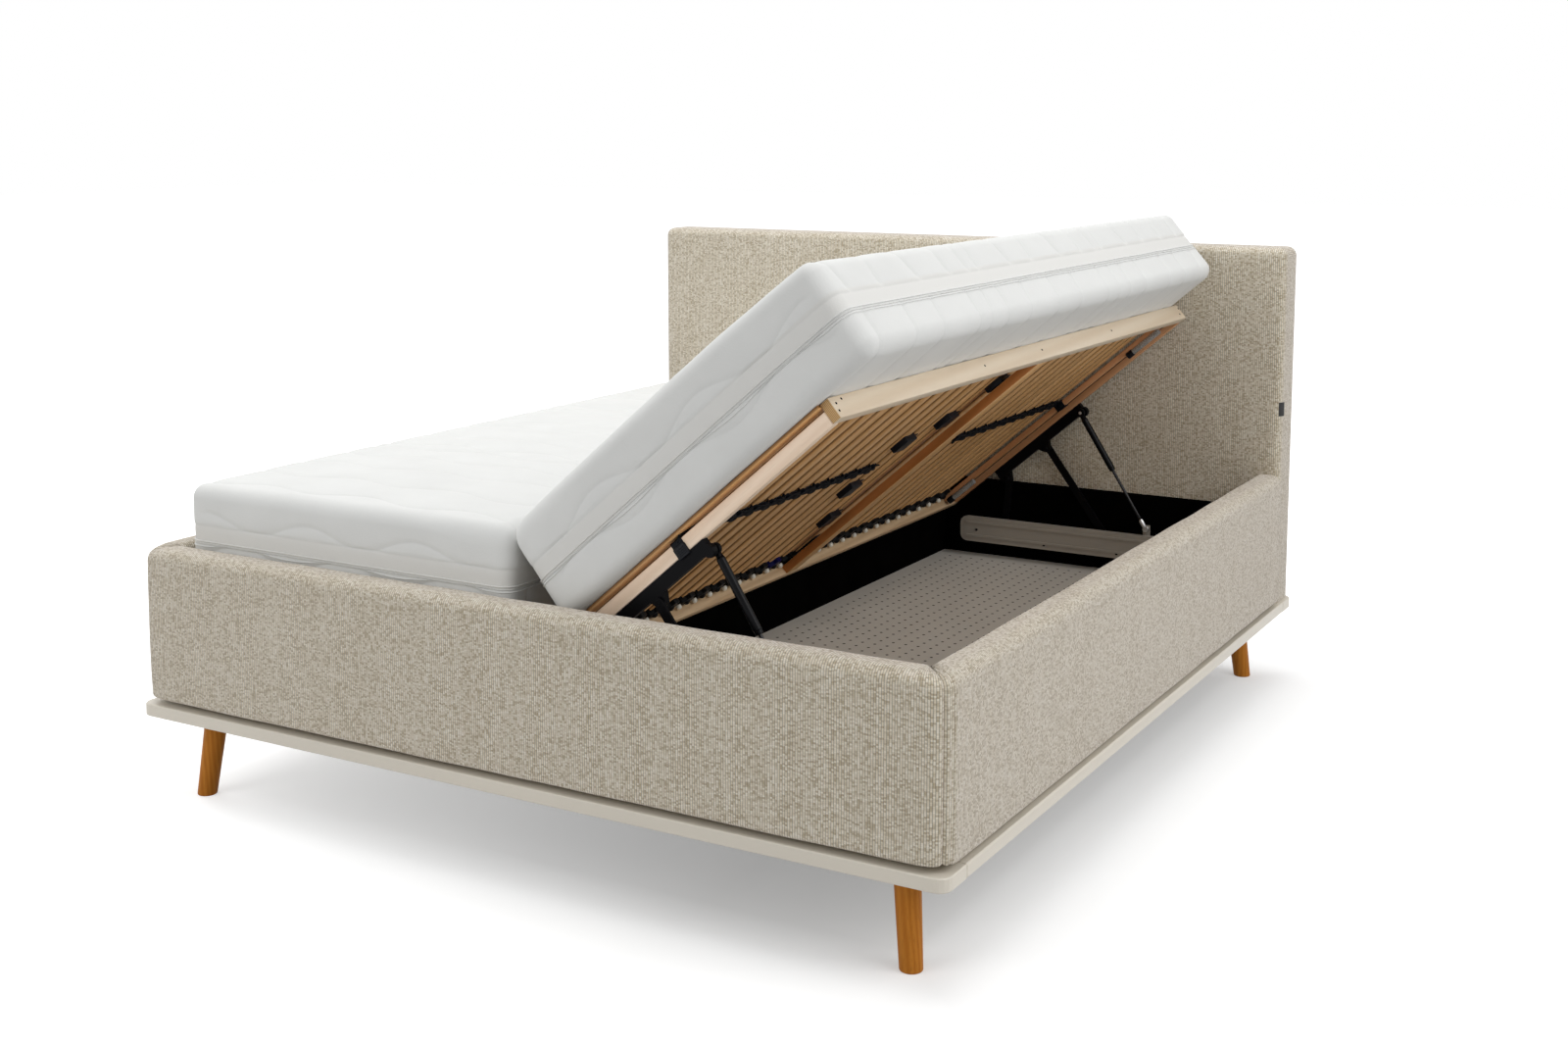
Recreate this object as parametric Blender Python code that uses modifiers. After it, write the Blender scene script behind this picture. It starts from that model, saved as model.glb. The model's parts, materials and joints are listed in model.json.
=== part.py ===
"""Double storage bed with two slat frames that lift sideways on gas springs.

The bed stands on a lacquered plinth with four splayed legs. Upholstered rails and a headboard
surround a black storage box. Each slat frame lies on two arms that four links and two gas
springs carry. The right half is modelled raised and the left half closed.

Metres, +Z up, +Y towards the headboard, +X to the right of somebody who stands at the foot end.
"""

import bmesh
import bpy
from math import atan2, cos, hypot, pi, radians, sin, tan
from mathutils import Matrix, Vector

# Clearances
SEAT = 0.0003              # air between two pieces that touch
RUN = 0.0005               # air round a pin in its eye and a rod in its cylinder
OVERRUN = 0.004            # how far a cutter or a fused stub reaches past a face

# The bed as a whole
HALF_WIDTH = 0.970         # middle of the bed to the outer face of a side rail
FOOT_FACE = -1.090         # outer face of the footboard
HEAD_BACK = 1.096          # rear face of the headboard
RAIL_GAP = 0.018           # shadow gap between the plinth and the upholstered rails
RAIL_HEIGHT = 0.318
RAIL_THICK = 0.067         # board, foam and cloth together
RAIL_EDGE = 0.026          # padded rounding along the top
RAIL_HEM = 0.007           # small rounding along the lower edge
RAIL_CORNER = 0.028        # rounding of the upright corners

# Headboard
HEADBOARD_THICK = 0.120
HEADBOARD_INSET = 0.009    # in from the side rails' outer faces
HEADBOARD_RISE = 0.605     # above the rails
HEADBOARD_EDGE = 0.020

# Plinth and legs
PLINTH_OVERHANG = 0.002    # beyond the side rails
PLINTH_FOOT_OVERHANG = 0.006
PLINTH_BOTTOM = 0.187
PLINTH_THICK = 0.027
PLINTH_CORNER = 0.025
PLINTH_WRAP = 0.084        # depth of the foot and head boards
PLINTH_SIDE_WIDTH = 0.110
PLINTH_ARRIS = 0.003
LEG_TOP_RADIUS = 0.0255
LEG_FOOT_RADIUS = 0.0215
LEG_FOOT_EDGE = 0.005
LEG_SPLAY = 0.020          # sideways and lengthwise, from top to foot
LEG_FOOT_X_INSET = 0.104   # leg foot's centre in from the plinth's sides
LEG_FOOT_Y_INSET = 0.083   # and in from its ends
LEG_STEPS = 20

# Storage box inside the rails
PANEL_THICK = 0.016
FOOT_PANEL_THICK = 0.034   # doubled up, because it carries the lift at the foot
END_PANEL_RISE = 0.039     # end panels above the slat frames' underside
FLOOR_RISE = 0.044         # floor above the plinth
FLOOR_THICK = 0.012
LEDGE_WIDTH = 0.040        # strip inside each side panel that carries the floor
BEAM_WIDTH = 0.080         # lengthwise beam under the middle of the floor
DIVIDER_THICK = 0.018
DIVIDER_HEIGHT = 0.127     # above the floor

# Slat frame, given where it lies when its half of the bed is closed
FRAME_INNER = 0.016        # middle of the bed to the frame's inner edge
FRAME_SIDE_AIR = 0.003     # its outer edge to the side rail
FRAME_RISE = 0.100         # its underside above the links' lower pivots
FRAME_HEIGHT = 0.0435
FRAME_RAIL = 0.022         # thickness of the two long rails
FRAME_END_AIR = 0.0077     # frame's ends to the end panels
BAR_THICK = 0.022
BAR_HEIGHT = 0.0285
BAR_CENTRE_WIDTH = 0.045
WOOD_ARRIS = 0.0015
SLAT_COUNT = 30
SLAT_WIDTH = 0.038
SLAT_THICK = 0.008
CAP_DEPTH = 0.022
CAP_WIDTH = 0.050
CAP_RAIL_DEPTH = 0.004
CAP_RAIL_HEIGHT = 0.005
CAP_RAIL_LIFT = 0.0015     # strip above the caps' underside
STRAP_WIDTH = 0.034
STRAP_THICK = 0.002
STRAP_SHARE = 0.36         # strap's place across the frame, from its inner edge

# Mattress
MATTRESS_INNER = 0.007
MATTRESS_SIDE_AIR = 0.013
MATTRESS_DEPTH = 0.2112    # at the edge of the top, before the crown
MATTRESS_FOOT_AIR = 0.006
MATTRESS_HEAD_AIR = 0.034
MATTRESS_CROWN = 0.012
MATTRESS_TOP_ROUND = 0.030
MATTRESS_INNER_ROUND = 0.045   # the two halves roll past each other here
MATTRESS_BOTTOM_ROUND = 0.032
MATTRESS_END_ROUND = 0.030
MATTRESS_DRAW_IN = 0.003   # how far the side falls in at the zip
MATTRESS_CHANNEL = 0.003   # depth of a quilting channel
MATTRESS_CHANNELS = 13
CROWN_SHARES = ((0.25, 0.75), (0.5, 1.0), (0.75, 0.75))
ZIP_HEIGHT = 0.086         # zip above the mattress's underside
ZIP_HALF = 0.005
BORDER_HEIGHT = 0.122      # upper edge of the plain border band

# Lift linkage of the closed right half. Each place is X and the height over the lower pivots
LIFT_ANGLE = radians(40.7)
FRAME_SLIDE = 0.155               # the slat frame's slide along the arms on lifting
LIFT_AXIS_PLACE = (0.012, 0.315)        # the mattress turns about its inner upper edge
OUTER_PIVOT_PLACE = (0.2033, 0.0621)    # arm to outer link
INNER_PIVOT_PLACE = (0.055, 0.062)      # arm to inner link
SPRING_PIVOT_PLACE = (0.3548, 0.0756)   # arm to gas spring
SPRING_FOOT_PLACE = (0.620, 0.055)      # gas spring's lower joint, over the guide rail

# Layers of the linkage, measured inwards from an end panel
LINK_NEAR = 0.0010
LINK_THICK = 0.0056
ARM_NEAR = 0.0070
ARM_THICK = 0.016
GUIDE_NEAR = 0.030
GUIDE_THICK = 0.015

# Arms, links and pins
PIN_RADIUS = 0.005
EYE_RADIUS = 0.012
ARM_START = 0.036
ARM_DEPTH = 0.027
ARM_EAR = 0.020            # half width of the ear round a link's pivot
ARM_TIP_RADIUS = 0.014
LINK_HALF = 0.010
LINK_SIDES = 10

# Guide rail on each end panel
GUIDE_START = 0.078
GUIDE_END_AIR = 0.1067     # to the side panel
GUIDE_RISE = 0.044         # above the floor
GUIDE_HEIGHT = 0.070
PIVOT_RISE = 0.033         # links' lower pivots above its lower edge
GUIDE_CORNER = 0.018
GUIDE_RIB = 0.0025
GUIDE_RIB_HEIGHT = 0.006
GUIDE_RIB_SHARES = (0.20, 0.74)
SPACER_HEIGHT = 0.020
SPACER_LENGTH = 0.028
SPACER_PLACES_SHARE = (0.02, 0.77, 0.95)
BOSS_RADIUS = 0.009
TAB_HALF = 0.010

# Gas springs
CYLINDER_RADIUS = 0.011
CYLINDER_END = 0.178       # mouth of the cylinder from its pivot
CYLINDER_START = 0.010
CYLINDER_EYE_THICK = 0.010
SPRING_AIR = 0.0025        # arm to cylinder
BORE_START = 0.050
ROD_RADIUS = 0.004
ROD_OVERLAP = 0.020        # rod left inside the cylinder at full length
BALL_RADIUS = 0.009
BALL_THICK = 0.0084
ROUND_STEPS = 16

# Which halves are open as modelled: right raised, left closed
OPEN_SHARES = {1: 1.0, -1: 0.0}
SIDE_NAMES = {1: "right", -1: "left"}
END_NAMES = {1: "head", -1: "foot"}

# Places that follow from the sizes above: across the bed
RAIL_INNER = HALF_WIDTH - RAIL_THICK
HEADBOARD_HALF = HALF_WIDTH - HEADBOARD_INSET
PLINTH_HALF = HALF_WIDTH + PLINTH_OVERHANG
LEG_FOOT_X = PLINTH_HALF - LEG_FOOT_X_INSET
PANEL_OUTER = RAIL_INNER - SEAT
PANEL_INNER = PANEL_OUTER - PANEL_THICK
FRAME_OUTER = RAIL_INNER - FRAME_SIDE_AIR
MATTRESS_OUTER = RAIL_INNER - MATTRESS_SIDE_AIR
GUIDE_END = PANEL_INNER - GUIDE_END_AIR

# Along the bed
HEAD_FACE = HEAD_BACK - HEADBOARD_THICK
FOOT_INNER = FOOT_FACE + RAIL_THICK
PLINTH_FOOT = FOOT_FACE - PLINTH_FOOT_OVERHANG
HEAD_PANEL_IN = HEAD_FACE - SEAT - PANEL_THICK
FOOT_PANEL_IN = FOOT_INNER + SEAT + FOOT_PANEL_THICK
FRAME_HEAD = HEAD_PANEL_IN - FRAME_END_AIR
FRAME_FOOT = FOOT_PANEL_IN + FRAME_END_AIR
SPRING_LAYER = ARM_NEAR + ARM_THICK + SPRING_AIR + CYLINDER_RADIUS

# Heights, each from the one below it
PLINTH_TOP = PLINTH_BOTTOM + PLINTH_THICK
BOX_BOTTOM = PLINTH_TOP + SEAT
RAIL_BOTTOM = PLINTH_TOP + RAIL_GAP
RAIL_TOP = RAIL_BOTTOM + RAIL_HEIGHT
HEADBOARD_TOP = RAIL_TOP + HEADBOARD_RISE
FLOOR_TOP = PLINTH_TOP + FLOOR_RISE
FLOOR_BOTTOM = FLOOR_TOP - FLOOR_THICK
DIVIDER_TOP = FLOOR_TOP + DIVIDER_HEIGHT
GUIDE_BOTTOM = FLOOR_TOP + GUIDE_RISE
GUIDE_TOP = GUIDE_BOTTOM + GUIDE_HEIGHT
BASE_PIVOT_HEIGHT = GUIDE_BOTTOM + PIVOT_RISE
FRAME_BOTTOM = BASE_PIVOT_HEIGHT + FRAME_RISE
FRAME_TOP = FRAME_BOTTOM + FRAME_HEIGHT
END_PANEL_TOP = FRAME_BOTTOM + END_PANEL_RISE
SLAT_BOTTOM = FRAME_TOP - SLAT_THICK
MATTRESS_BOTTOM = FRAME_TOP + SEAT
MATTRESS_TOP = MATTRESS_BOTTOM + MATTRESS_DEPTH


def over_base(point):
    """X-Z place of a linkage point given over the links' lower pivots."""
    return (point[0], BASE_PIVOT_HEIGHT + point[1])


LIFT_AXIS = over_base(LIFT_AXIS_PLACE)
OUTER_PIVOT = over_base(OUTER_PIVOT_PLACE)
INNER_PIVOT = over_base(INNER_PIVOT_PLACE)
SPRING_PIVOT = over_base(SPRING_PIVOT_PLACE)
SPRING_FOOT = over_base(SPRING_FOOT_PLACE)


# Scene, collections and materials

for old in list(bpy.data.objects):
    bpy.data.objects.remove(old, do_unlink=True)

parts = bpy.data.collections.new("storage_bed")
helpers = bpy.data.collections.new("storage_bed_cutters")
bpy.context.scene.collection.children.link(parts)
bpy.context.scene.collection.children.link(helpers)


def finish(name, colour, roughness, metallic=0.0):
    """Make one plain material."""
    material = bpy.data.materials.new(name)
    material.use_nodes = True
    shader = material.node_tree.nodes["Principled BSDF"]
    shader.inputs["Base Color"].default_value = (*colour, 1.0)
    shader.inputs["Roughness"].default_value = roughness
    shader.inputs["Metallic"].default_value = metallic
    return material


CLOTH = finish("greige_cloth", (0.50, 0.45, 0.37), 0.95)
LACQUER = finish("cream_lacquer", (0.70, 0.66, 0.58), 0.45)
OAK = finish("oiled_oak", (0.50, 0.24, 0.08), 0.50)
BLACK_BOARD = finish("black_board", (0.012, 0.012, 0.012), 0.70)
PALE_BOARD = finish("pale_floor_board", (0.55, 0.52, 0.48), 0.65)
BIRCH = finish("pale_birch", (0.74, 0.60, 0.43), 0.55)
BEECH = finish("beech_ply", (0.66, 0.42, 0.28), 0.55)
RED_BEECH = finish("dark_beech", (0.42, 0.20, 0.10), 0.50)
RUBBER = finish("black_rubber", (0.015, 0.015, 0.018), 0.60)
BLACK_STEEL = finish("black_steel", (0.02, 0.02, 0.022), 0.40, 0.6)
ROD_STEEL = finish("bright_steel", (0.50, 0.50, 0.50), 0.25, 1.0)
GUIDE_PAINT = finish("cream_guide_rail", (0.60, 0.57, 0.50), 0.45)
TICKING = finish("white_ticking", (0.85, 0.86, 0.86), 0.90)


# Shape helpers

def place(mesh, name, material, parent=None, pivot=(0, 0, 0)):
    """Link a mesh drawn in bed coordinates as an object whose origin is its pivot."""
    mesh.name = name
    mesh.materials.clear()
    mesh.materials.append(material)
    mesh.transform(Matrix.Translation(-Vector(pivot)))
    thing = bpy.data.objects.new(name, mesh)
    parts.objects.link(thing)
    if parent is None:
        thing.location = pivot
    else:
        thing.parent = parent
    return thing


def baked(thing):
    """Return the evaluated mesh of an object in its own coordinates and remove the object."""
    graph = bpy.context.evaluated_depsgraph_get()
    graph.update()
    mesh = bpy.data.meshes.new_from_object(thing.evaluated_get(graph))
    mesh.transform(thing.matrix_world)
    bpy.data.objects.remove(thing, do_unlink=True)
    edit = bmesh.new()
    edit.from_mesh(mesh)
    bmesh.ops.remove_doubles(edit, verts=edit.verts, dist=SEAT / 30)
    edit.to_mesh(mesh)
    edit.free()
    return mesh


def helper(mesh, name="helper"):
    """Put a mesh in the cutters' collection as an object."""
    thing = bpy.data.objects.new(name, mesh)
    helpers.objects.link(thing)
    thing.hide_render = True
    thing.display_type = "WIRE"
    return thing


def box(low, high):
    """A box between two corners."""
    edit = bmesh.new()
    bmesh.ops.create_cube(edit, size=1.0)
    size = [b - a for a, b in zip(low, high)]
    middle = [(a + b) / 2 for a, b in zip(low, high)]
    bmesh.ops.scale(edit, vec=size, verts=edit.verts)
    bmesh.ops.translate(edit, vec=middle, verts=edit.verts)
    mesh = bpy.data.meshes.new("box")
    edit.to_mesh(mesh)
    edit.free()
    return mesh


def side_box(side, inner, outer, low_y, high_y, low_z, high_z):
    """A box on the right half, or its mirror image on the left half."""
    first, last = sorted((side * inner, side * outer))
    return box((first, low_y, low_z), (last, high_y, high_z))


def prism(points, low, high):
    """Extrude a flat outline between two levels along Z."""
    curve = bpy.data.curves.new("outline", "CURVE")
    curve.dimensions = "2D"
    curve.fill_mode = "BOTH"
    curve.extrude = (high - low) / 2
    line = curve.splines.new("POLY")
    line.points.add(len(points) - 1)
    for point, (across, along) in zip(line.points, points):
        point.co = (across, along, 0, 1)
    line.use_cyclic_u = True
    thing = bpy.data.objects.new("outline", curve)
    helpers.objects.link(thing)
    thing.location.z = (low + high) / 2
    return baked(thing)


def upright(side, points, low, high):
    """Extrude an X-Z outline of the right half along Y, and mirror it for the left half."""
    mesh = prism(points, -(high - low) / 2, (high - low) / 2)
    mesh.transform(Matrix.Translation((0, (low + high) / 2, 0)) @ Matrix.Rotation(pi / 2, 4, "X"))
    if side < 0:
        mesh.transform(Matrix.Scale(-1, 4, (1, 0, 0)))
        mesh.flip_normals()
    return mesh


def arc(centre, radius, start, end, steps):
    """Points along an arc, angles in radians."""
    turns = [start + (end - start) * step / steps for step in range(steps + 1)]
    return [(centre[0] + radius * cos(turn), centre[1] + radius * sin(turn)) for turn in turns]


def rod_along(start, end, radius, steps=ROUND_STEPS):
    """A round bar between two points."""
    start, end = Vector(start), Vector(end)
    span = end - start
    edit = bmesh.new()
    bmesh.ops.create_cone(edit, cap_ends=True, segments=steps, radius1=radius, radius2=radius,
                          depth=span.length)
    mesh = bpy.data.meshes.new("bar")
    edit.to_mesh(mesh)
    edit.free()
    turn = Vector((0, 0, 1)).rotation_difference(span).to_matrix().to_4x4()
    mesh.transform(Matrix.Translation((start + end) / 2) @ turn)
    return mesh


def pin(side, point, start, end, radius):
    """A round bar along Y at an X-Z point of the right half, or mirrored on the left."""
    return rod_along((side * point[0], start, point[1]), (side * point[0], end, point[1]), radius)


def combine(base, others, operation):
    """Fuse meshes into a base mesh, or cut them from it."""
    thing = helper(base, "base")
    tools = [helper(other, "tool") for other in others]
    for tool in tools:
        step = thing.modifiers.new("join", "BOOLEAN")
        step.operation = operation
        step.object = tool
        step.solver = "EXACT"
    mesh = baked(thing)
    for tool in tools:
        bpy.data.objects.remove(tool, do_unlink=True)
    return mesh


def fuse(base, *others):
    return combine(base, others, "UNION")


def cut(base, *others):
    return combine(base, others, "DIFFERENCE")


def rounded(mesh, width, segments=2, limit=radians(40)):
    """Round the edges of a mesh."""
    thing = helper(mesh)
    step = thing.modifiers.new("round", "BEVEL")
    step.width = width
    step.segments = segments
    step.limit_method = "ANGLE"
    step.angle_limit = limit
    return baked(thing)


def smooth(thing, limit=radians(35)):
    """Shade an object's round faces smooth."""
    thing.data.shade_smooth()
    thing.data.set_sharp_from_angle(angle=limit)
    return thing


def depth(end, distance):
    """Y of a layer measured inwards from the head or the foot panel."""
    return HEAD_PANEL_IN - distance if end > 0 else FOOT_PANEL_IN + distance


def layer(end, near, thick):
    """Lowest and highest Y of a layer beside an end panel."""
    return sorted((depth(end, near), depth(end, near + thick)))


# Lift geometry. Angles run from +X towards +Z on the right half

def turned(point, centre, angle):
    """Turn an X-Z point about a centre."""
    x, z = point[0] - centre[0], point[1] - centre[1]
    return (centre[0] + x * cos(angle) - z * sin(angle), centre[1] + x * sin(angle) + z * cos(angle))


def bearing(start, end):
    """Direction from one X-Z point to another."""
    return atan2(end[1] - start[1], end[0] - start[0])


def span(start, end):
    return hypot(end[0] - start[0], end[1] - start[1])


def base_pivot(pivot):
    """Where a link's lower pivot lies, so that it is as far from its arm's pivot open and closed."""
    middle = bearing(LIFT_AXIS, pivot) + LIFT_ANGLE / 2
    reach = (LIFT_AXIS[1] - BASE_PIVOT_HEIGHT) / tan(-middle)
    return (LIFT_AXIS[0] + reach, BASE_PIVOT_HEIGHT)


OUTER_BASE = base_pivot(OUTER_PIVOT)
INNER_BASE = base_pivot(INNER_PIVOT)
OUTER_RAISED = turned(OUTER_PIVOT, LIFT_AXIS, LIFT_ANGLE)
INNER_RAISED = turned(INNER_PIVOT, LIFT_AXIS, LIFT_ANGLE)
SPRING_RAISED = turned(SPRING_PIVOT, LIFT_AXIS, LIFT_ANGLE)
OUTER_TURN = bearing(OUTER_RAISED, OUTER_BASE) - bearing(OUTER_PIVOT, OUTER_BASE) - LIFT_ANGLE
INNER_TURN = bearing(INNER_BASE, INNER_RAISED) - bearing(INNER_BASE, INNER_PIVOT)
SPRING_TURN = bearing(SPRING_RAISED, SPRING_FOOT) - bearing(SPRING_PIVOT, SPRING_FOOT) - LIFT_ANGLE
SPRING_SHORT = span(SPRING_PIVOT, SPRING_FOOT)
SPRING_LONG = span(SPRING_RAISED, SPRING_FOOT)


def joint(name, side, point, turn, parent=None, parent_point=(0, 0)):
    """An empty on a joint's axis, turned as far as this half is open."""
    empty = bpy.data.objects.new(name, None)
    parts.objects.link(empty)
    empty.parent = parent
    empty.location = (side * (point[0] - parent_point[0]), 0, point[1] - parent_point[1])
    empty.rotation_euler = (0, -side * turn * OPEN_SHARES[side], 0)
    return empty


# Plinth and legs

def plinth_end(end):
    """Foot or head board of the plinth, with two rounded outer corners."""
    edge = PLINTH_FOOT if end < 0 else HEAD_BACK
    inner = edge - end * PLINTH_WRAP
    left = arc((-PLINTH_HALF + PLINTH_CORNER, edge - end * PLINTH_CORNER), PLINTH_CORNER,
               pi, pi - end * pi / 2, 4)
    right = arc((PLINTH_HALF - PLINTH_CORNER, edge - end * PLINTH_CORNER), PLINTH_CORNER,
                end * pi / 2, 0, 4)
    outline = [(-PLINTH_HALF, inner), *left, *right, (PLINTH_HALF, inner)]
    board = rounded(prism(outline, PLINTH_BOTTOM, PLINTH_TOP), PLINTH_ARRIS, 1)
    return place(board, f"plinth_{END_NAMES[end]}_board", LACQUER)


def plinth_side(side):
    low = PLINTH_FOOT + PLINTH_WRAP + SEAT
    high = HEAD_BACK - PLINTH_WRAP - SEAT
    board = side_box(side, PLINTH_HALF - PLINTH_SIDE_WIDTH, PLINTH_HALF, low, high,
                     PLINTH_BOTTOM, PLINTH_TOP)
    return place(rounded(board, PLINTH_ARRIS, 1), f"plinth_{SIDE_NAMES[side]}_board", LACQUER)


def leg(side, end):
    """A turned leg that leans outwards, cut level at its top and its foot."""
    height = PLINTH_BOTTOM - SEAT
    profile = [(0, height), (LEG_TOP_RADIUS, height), (LEG_FOOT_RADIUS, LEG_FOOT_EDGE),
               (LEG_FOOT_RADIUS - LEG_FOOT_EDGE / 2, LEG_FOOT_EDGE / 4),
               (LEG_FOOT_RADIUS - LEG_FOOT_EDGE, 0), (0, 0)]
    mesh = bpy.data.meshes.new("leg")
    mesh.from_pydata([(radius, 0, z) for radius, z in profile],
                     [(step, step + 1) for step in range(len(profile) - 1)], [])
    thing = helper(mesh)
    turn = thing.modifiers.new("turn", "SCREW")
    turn.steps = LEG_STEPS
    turn.render_steps = LEG_STEPS
    turn.use_merge_vertices = True
    turn.merge_threshold = SEAT / 3
    mesh = baked(thing)
    lean = Matrix.Identity(4)
    lean[0][2] = -side * LEG_SPLAY / height
    lean[1][2] = -end * LEG_SPLAY / height
    mesh.transform(lean)
    foot_y = PLINTH_FOOT + LEG_FOOT_Y_INSET if end < 0 else HEAD_BACK - LEG_FOOT_Y_INSET
    mesh.transform(Matrix.Translation((side * LEG_FOOT_X, foot_y, 0)))
    pivot = (side * LEG_FOOT_X, foot_y, 0)
    return smooth(place(mesh, f"{END_NAMES[end]}_{SIDE_NAMES[side]}_leg", OAK, pivot=pivot))


# Upholstered rails and headboard

def rail_ring():
    """Both side rails and the footboard as one padded U, before it is mitred."""
    corner = RAIL_CORNER
    foot = FOOT_FACE + corner
    left = arc((-HALF_WIDTH + corner, foot), corner, pi, 3 * pi / 2, 4)
    right = arc((HALF_WIDTH - corner, foot), corner, 3 * pi / 2, 2 * pi, 4)
    end = HEAD_FACE - SEAT
    outline = [(-HALF_WIDTH, end), *left, *right, (HALF_WIDTH, end),
               (RAIL_INNER, end), (RAIL_INNER, FOOT_INNER), (-RAIL_INNER, FOOT_INNER),
               (-RAIL_INNER, end)]
    mesh = prism(outline, RAIL_BOTTOM, RAIL_TOP)
    edit = bmesh.new()
    edit.from_mesh(mesh)
    bmesh.ops.dissolve_limit(edit, angle_limit=radians(1), verts=edit.verts, edges=edit.edges)

    def rim(level):
        return [edge for edge in edit.edges
                if all(abs(vert.co.z - level) < SEAT and abs(vert.co.y - end) > SEAT
                       or abs(vert.co.z - level) < SEAT and abs(abs(vert.co.x) - HALF_WIDTH) < SEAT
                       or abs(vert.co.z - level) < SEAT and abs(abs(vert.co.x) - RAIL_INNER) < SEAT
                       for vert in edge.verts)
                and abs(sum(vert.co.y for vert in edge.verts) / 2 - end) > SEAT]

    bmesh.ops.bevel(edit, geom=rim(RAIL_TOP), offset=RAIL_EDGE, segments=4, profile=0.5,
                    affect="EDGES")
    bmesh.ops.bevel(edit, geom=rim(RAIL_BOTTOM), offset=RAIL_HEM, segments=1, profile=0.5,
                    affect="EDGES")
    edit.to_mesh(mesh)
    edit.free()
    return mesh


def mitred(mesh, cuts):
    """Keep the part of a mesh in front of each mitre plane, and close the cut faces."""
    edit = bmesh.new()
    edit.from_mesh(mesh)
    for point, normal in cuts:
        everything = edit.verts[:] + edit.edges[:] + edit.faces[:]
        result = bmesh.ops.bisect_plane(edit, geom=everything, dist=SEAT / 30, plane_co=point,
                                        plane_no=normal, clear_inner=True)
        rim = [item for item in result["geom_cut"] if isinstance(item, bmesh.types.BMEdge)]
        bmesh.ops.contextual_create(edit, geom=rim)
    bmesh.ops.recalc_face_normals(edit, faces=edit.faces)
    kept = bpy.data.meshes.new("rail")
    edit.to_mesh(kept)
    edit.free()
    return kept


def rails():
    """Footboard and side rails, mitred where they meet at the two foot corners."""
    ring = rail_ring()
    corners = {side: Vector((side * RAIL_INNER, FOOT_INNER, 0)) for side in (1, -1)}
    joints = {side: Vector((-side, -1, 0)).normalized() for side in (1, -1)}
    air = SEAT / 2
    foot_cuts = [(corners[side] + joints[side] * air, joints[side]) for side in (1, -1)]
    smooth(place(mitred(ring, foot_cuts), "footboard", CLOTH))
    middle = (Vector((0, FOOT_INNER + OVERRUN, 0)))
    for side in (1, -1):
        cuts = [(corners[side] - joints[side] * air, -joints[side]),
                (middle, Vector((side, 0, 0)))]
        smooth(place(mitred(ring, cuts), f"{SIDE_NAMES[side]}_side_rail", CLOTH))
    bpy.data.meshes.remove(ring)


def headboard():
    board = box((-HEADBOARD_HALF, HEAD_FACE, BOX_BOTTOM), (HEADBOARD_HALF, HEAD_BACK, HEADBOARD_TOP))
    return smooth(place(rounded(board, HEADBOARD_EDGE, 3), "headboard", CLOTH))


# Storage box

def end_panel(end):
    thick = PANEL_THICK if end > 0 else FOOT_PANEL_THICK
    low, high = layer(end, -thick, thick)
    reach = PANEL_INNER - SEAT
    board = box((-reach, low, BOX_BOTTOM), (reach, high, END_PANEL_TOP))
    return place(board, f"{END_NAMES[end]}_box_panel", BLACK_BOARD)


def side_panel(side):
    """Side board with the ledge strip that carries the floor along its foot."""
    ledge = PANEL_INNER - LEDGE_WIDTH
    outline = [(PANEL_OUTER, BOX_BOTTOM), (PANEL_OUTER, FRAME_BOTTOM - SEAT),
               (PANEL_INNER, FRAME_BOTTOM - SEAT), (PANEL_INNER, FLOOR_BOTTOM - SEAT),
               (ledge, FLOOR_BOTTOM - SEAT), (ledge, BOX_BOTTOM)]
    low, high = FOOT_PANEL_IN + SEAT, HEAD_PANEL_IN - SEAT
    full_low, full_high = FOOT_INNER + SEAT, HEAD_FACE - SEAT
    board = upright(side, outline, low, high)
    skin = side_box(side, PANEL_INNER, PANEL_OUTER, full_low, full_high, BOX_BOTTOM,
                    FRAME_BOTTOM - SEAT)
    return place(fuse(board, skin), f"{SIDE_NAMES[side]}_box_panel", BLACK_BOARD)


def storage_floor(side):
    board = side_box(side, DIVIDER_THICK / 2 + SEAT, PANEL_INNER - SEAT, FOOT_PANEL_IN + SEAT,
                     HEAD_PANEL_IN - SEAT, FLOOR_BOTTOM, FLOOR_TOP)
    return place(board, f"{SIDE_NAMES[side]}_storage_floor", PALE_BOARD)


def middle_pieces():
    beam = box((-BEAM_WIDTH / 2, FOOT_PANEL_IN + SEAT, BOX_BOTTOM),
               (BEAM_WIDTH / 2, HEAD_PANEL_IN - SEAT, FLOOR_BOTTOM - SEAT))
    place(beam, "floor_beam", BLACK_BOARD)
    divider = box((-DIVIDER_THICK / 2, FOOT_PANEL_IN + SEAT, FLOOR_BOTTOM),
                  (DIVIDER_THICK / 2, HEAD_PANEL_IN - SEAT, DIVIDER_TOP))
    place(divider, "storage_divider", BLACK_BOARD)


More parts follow.
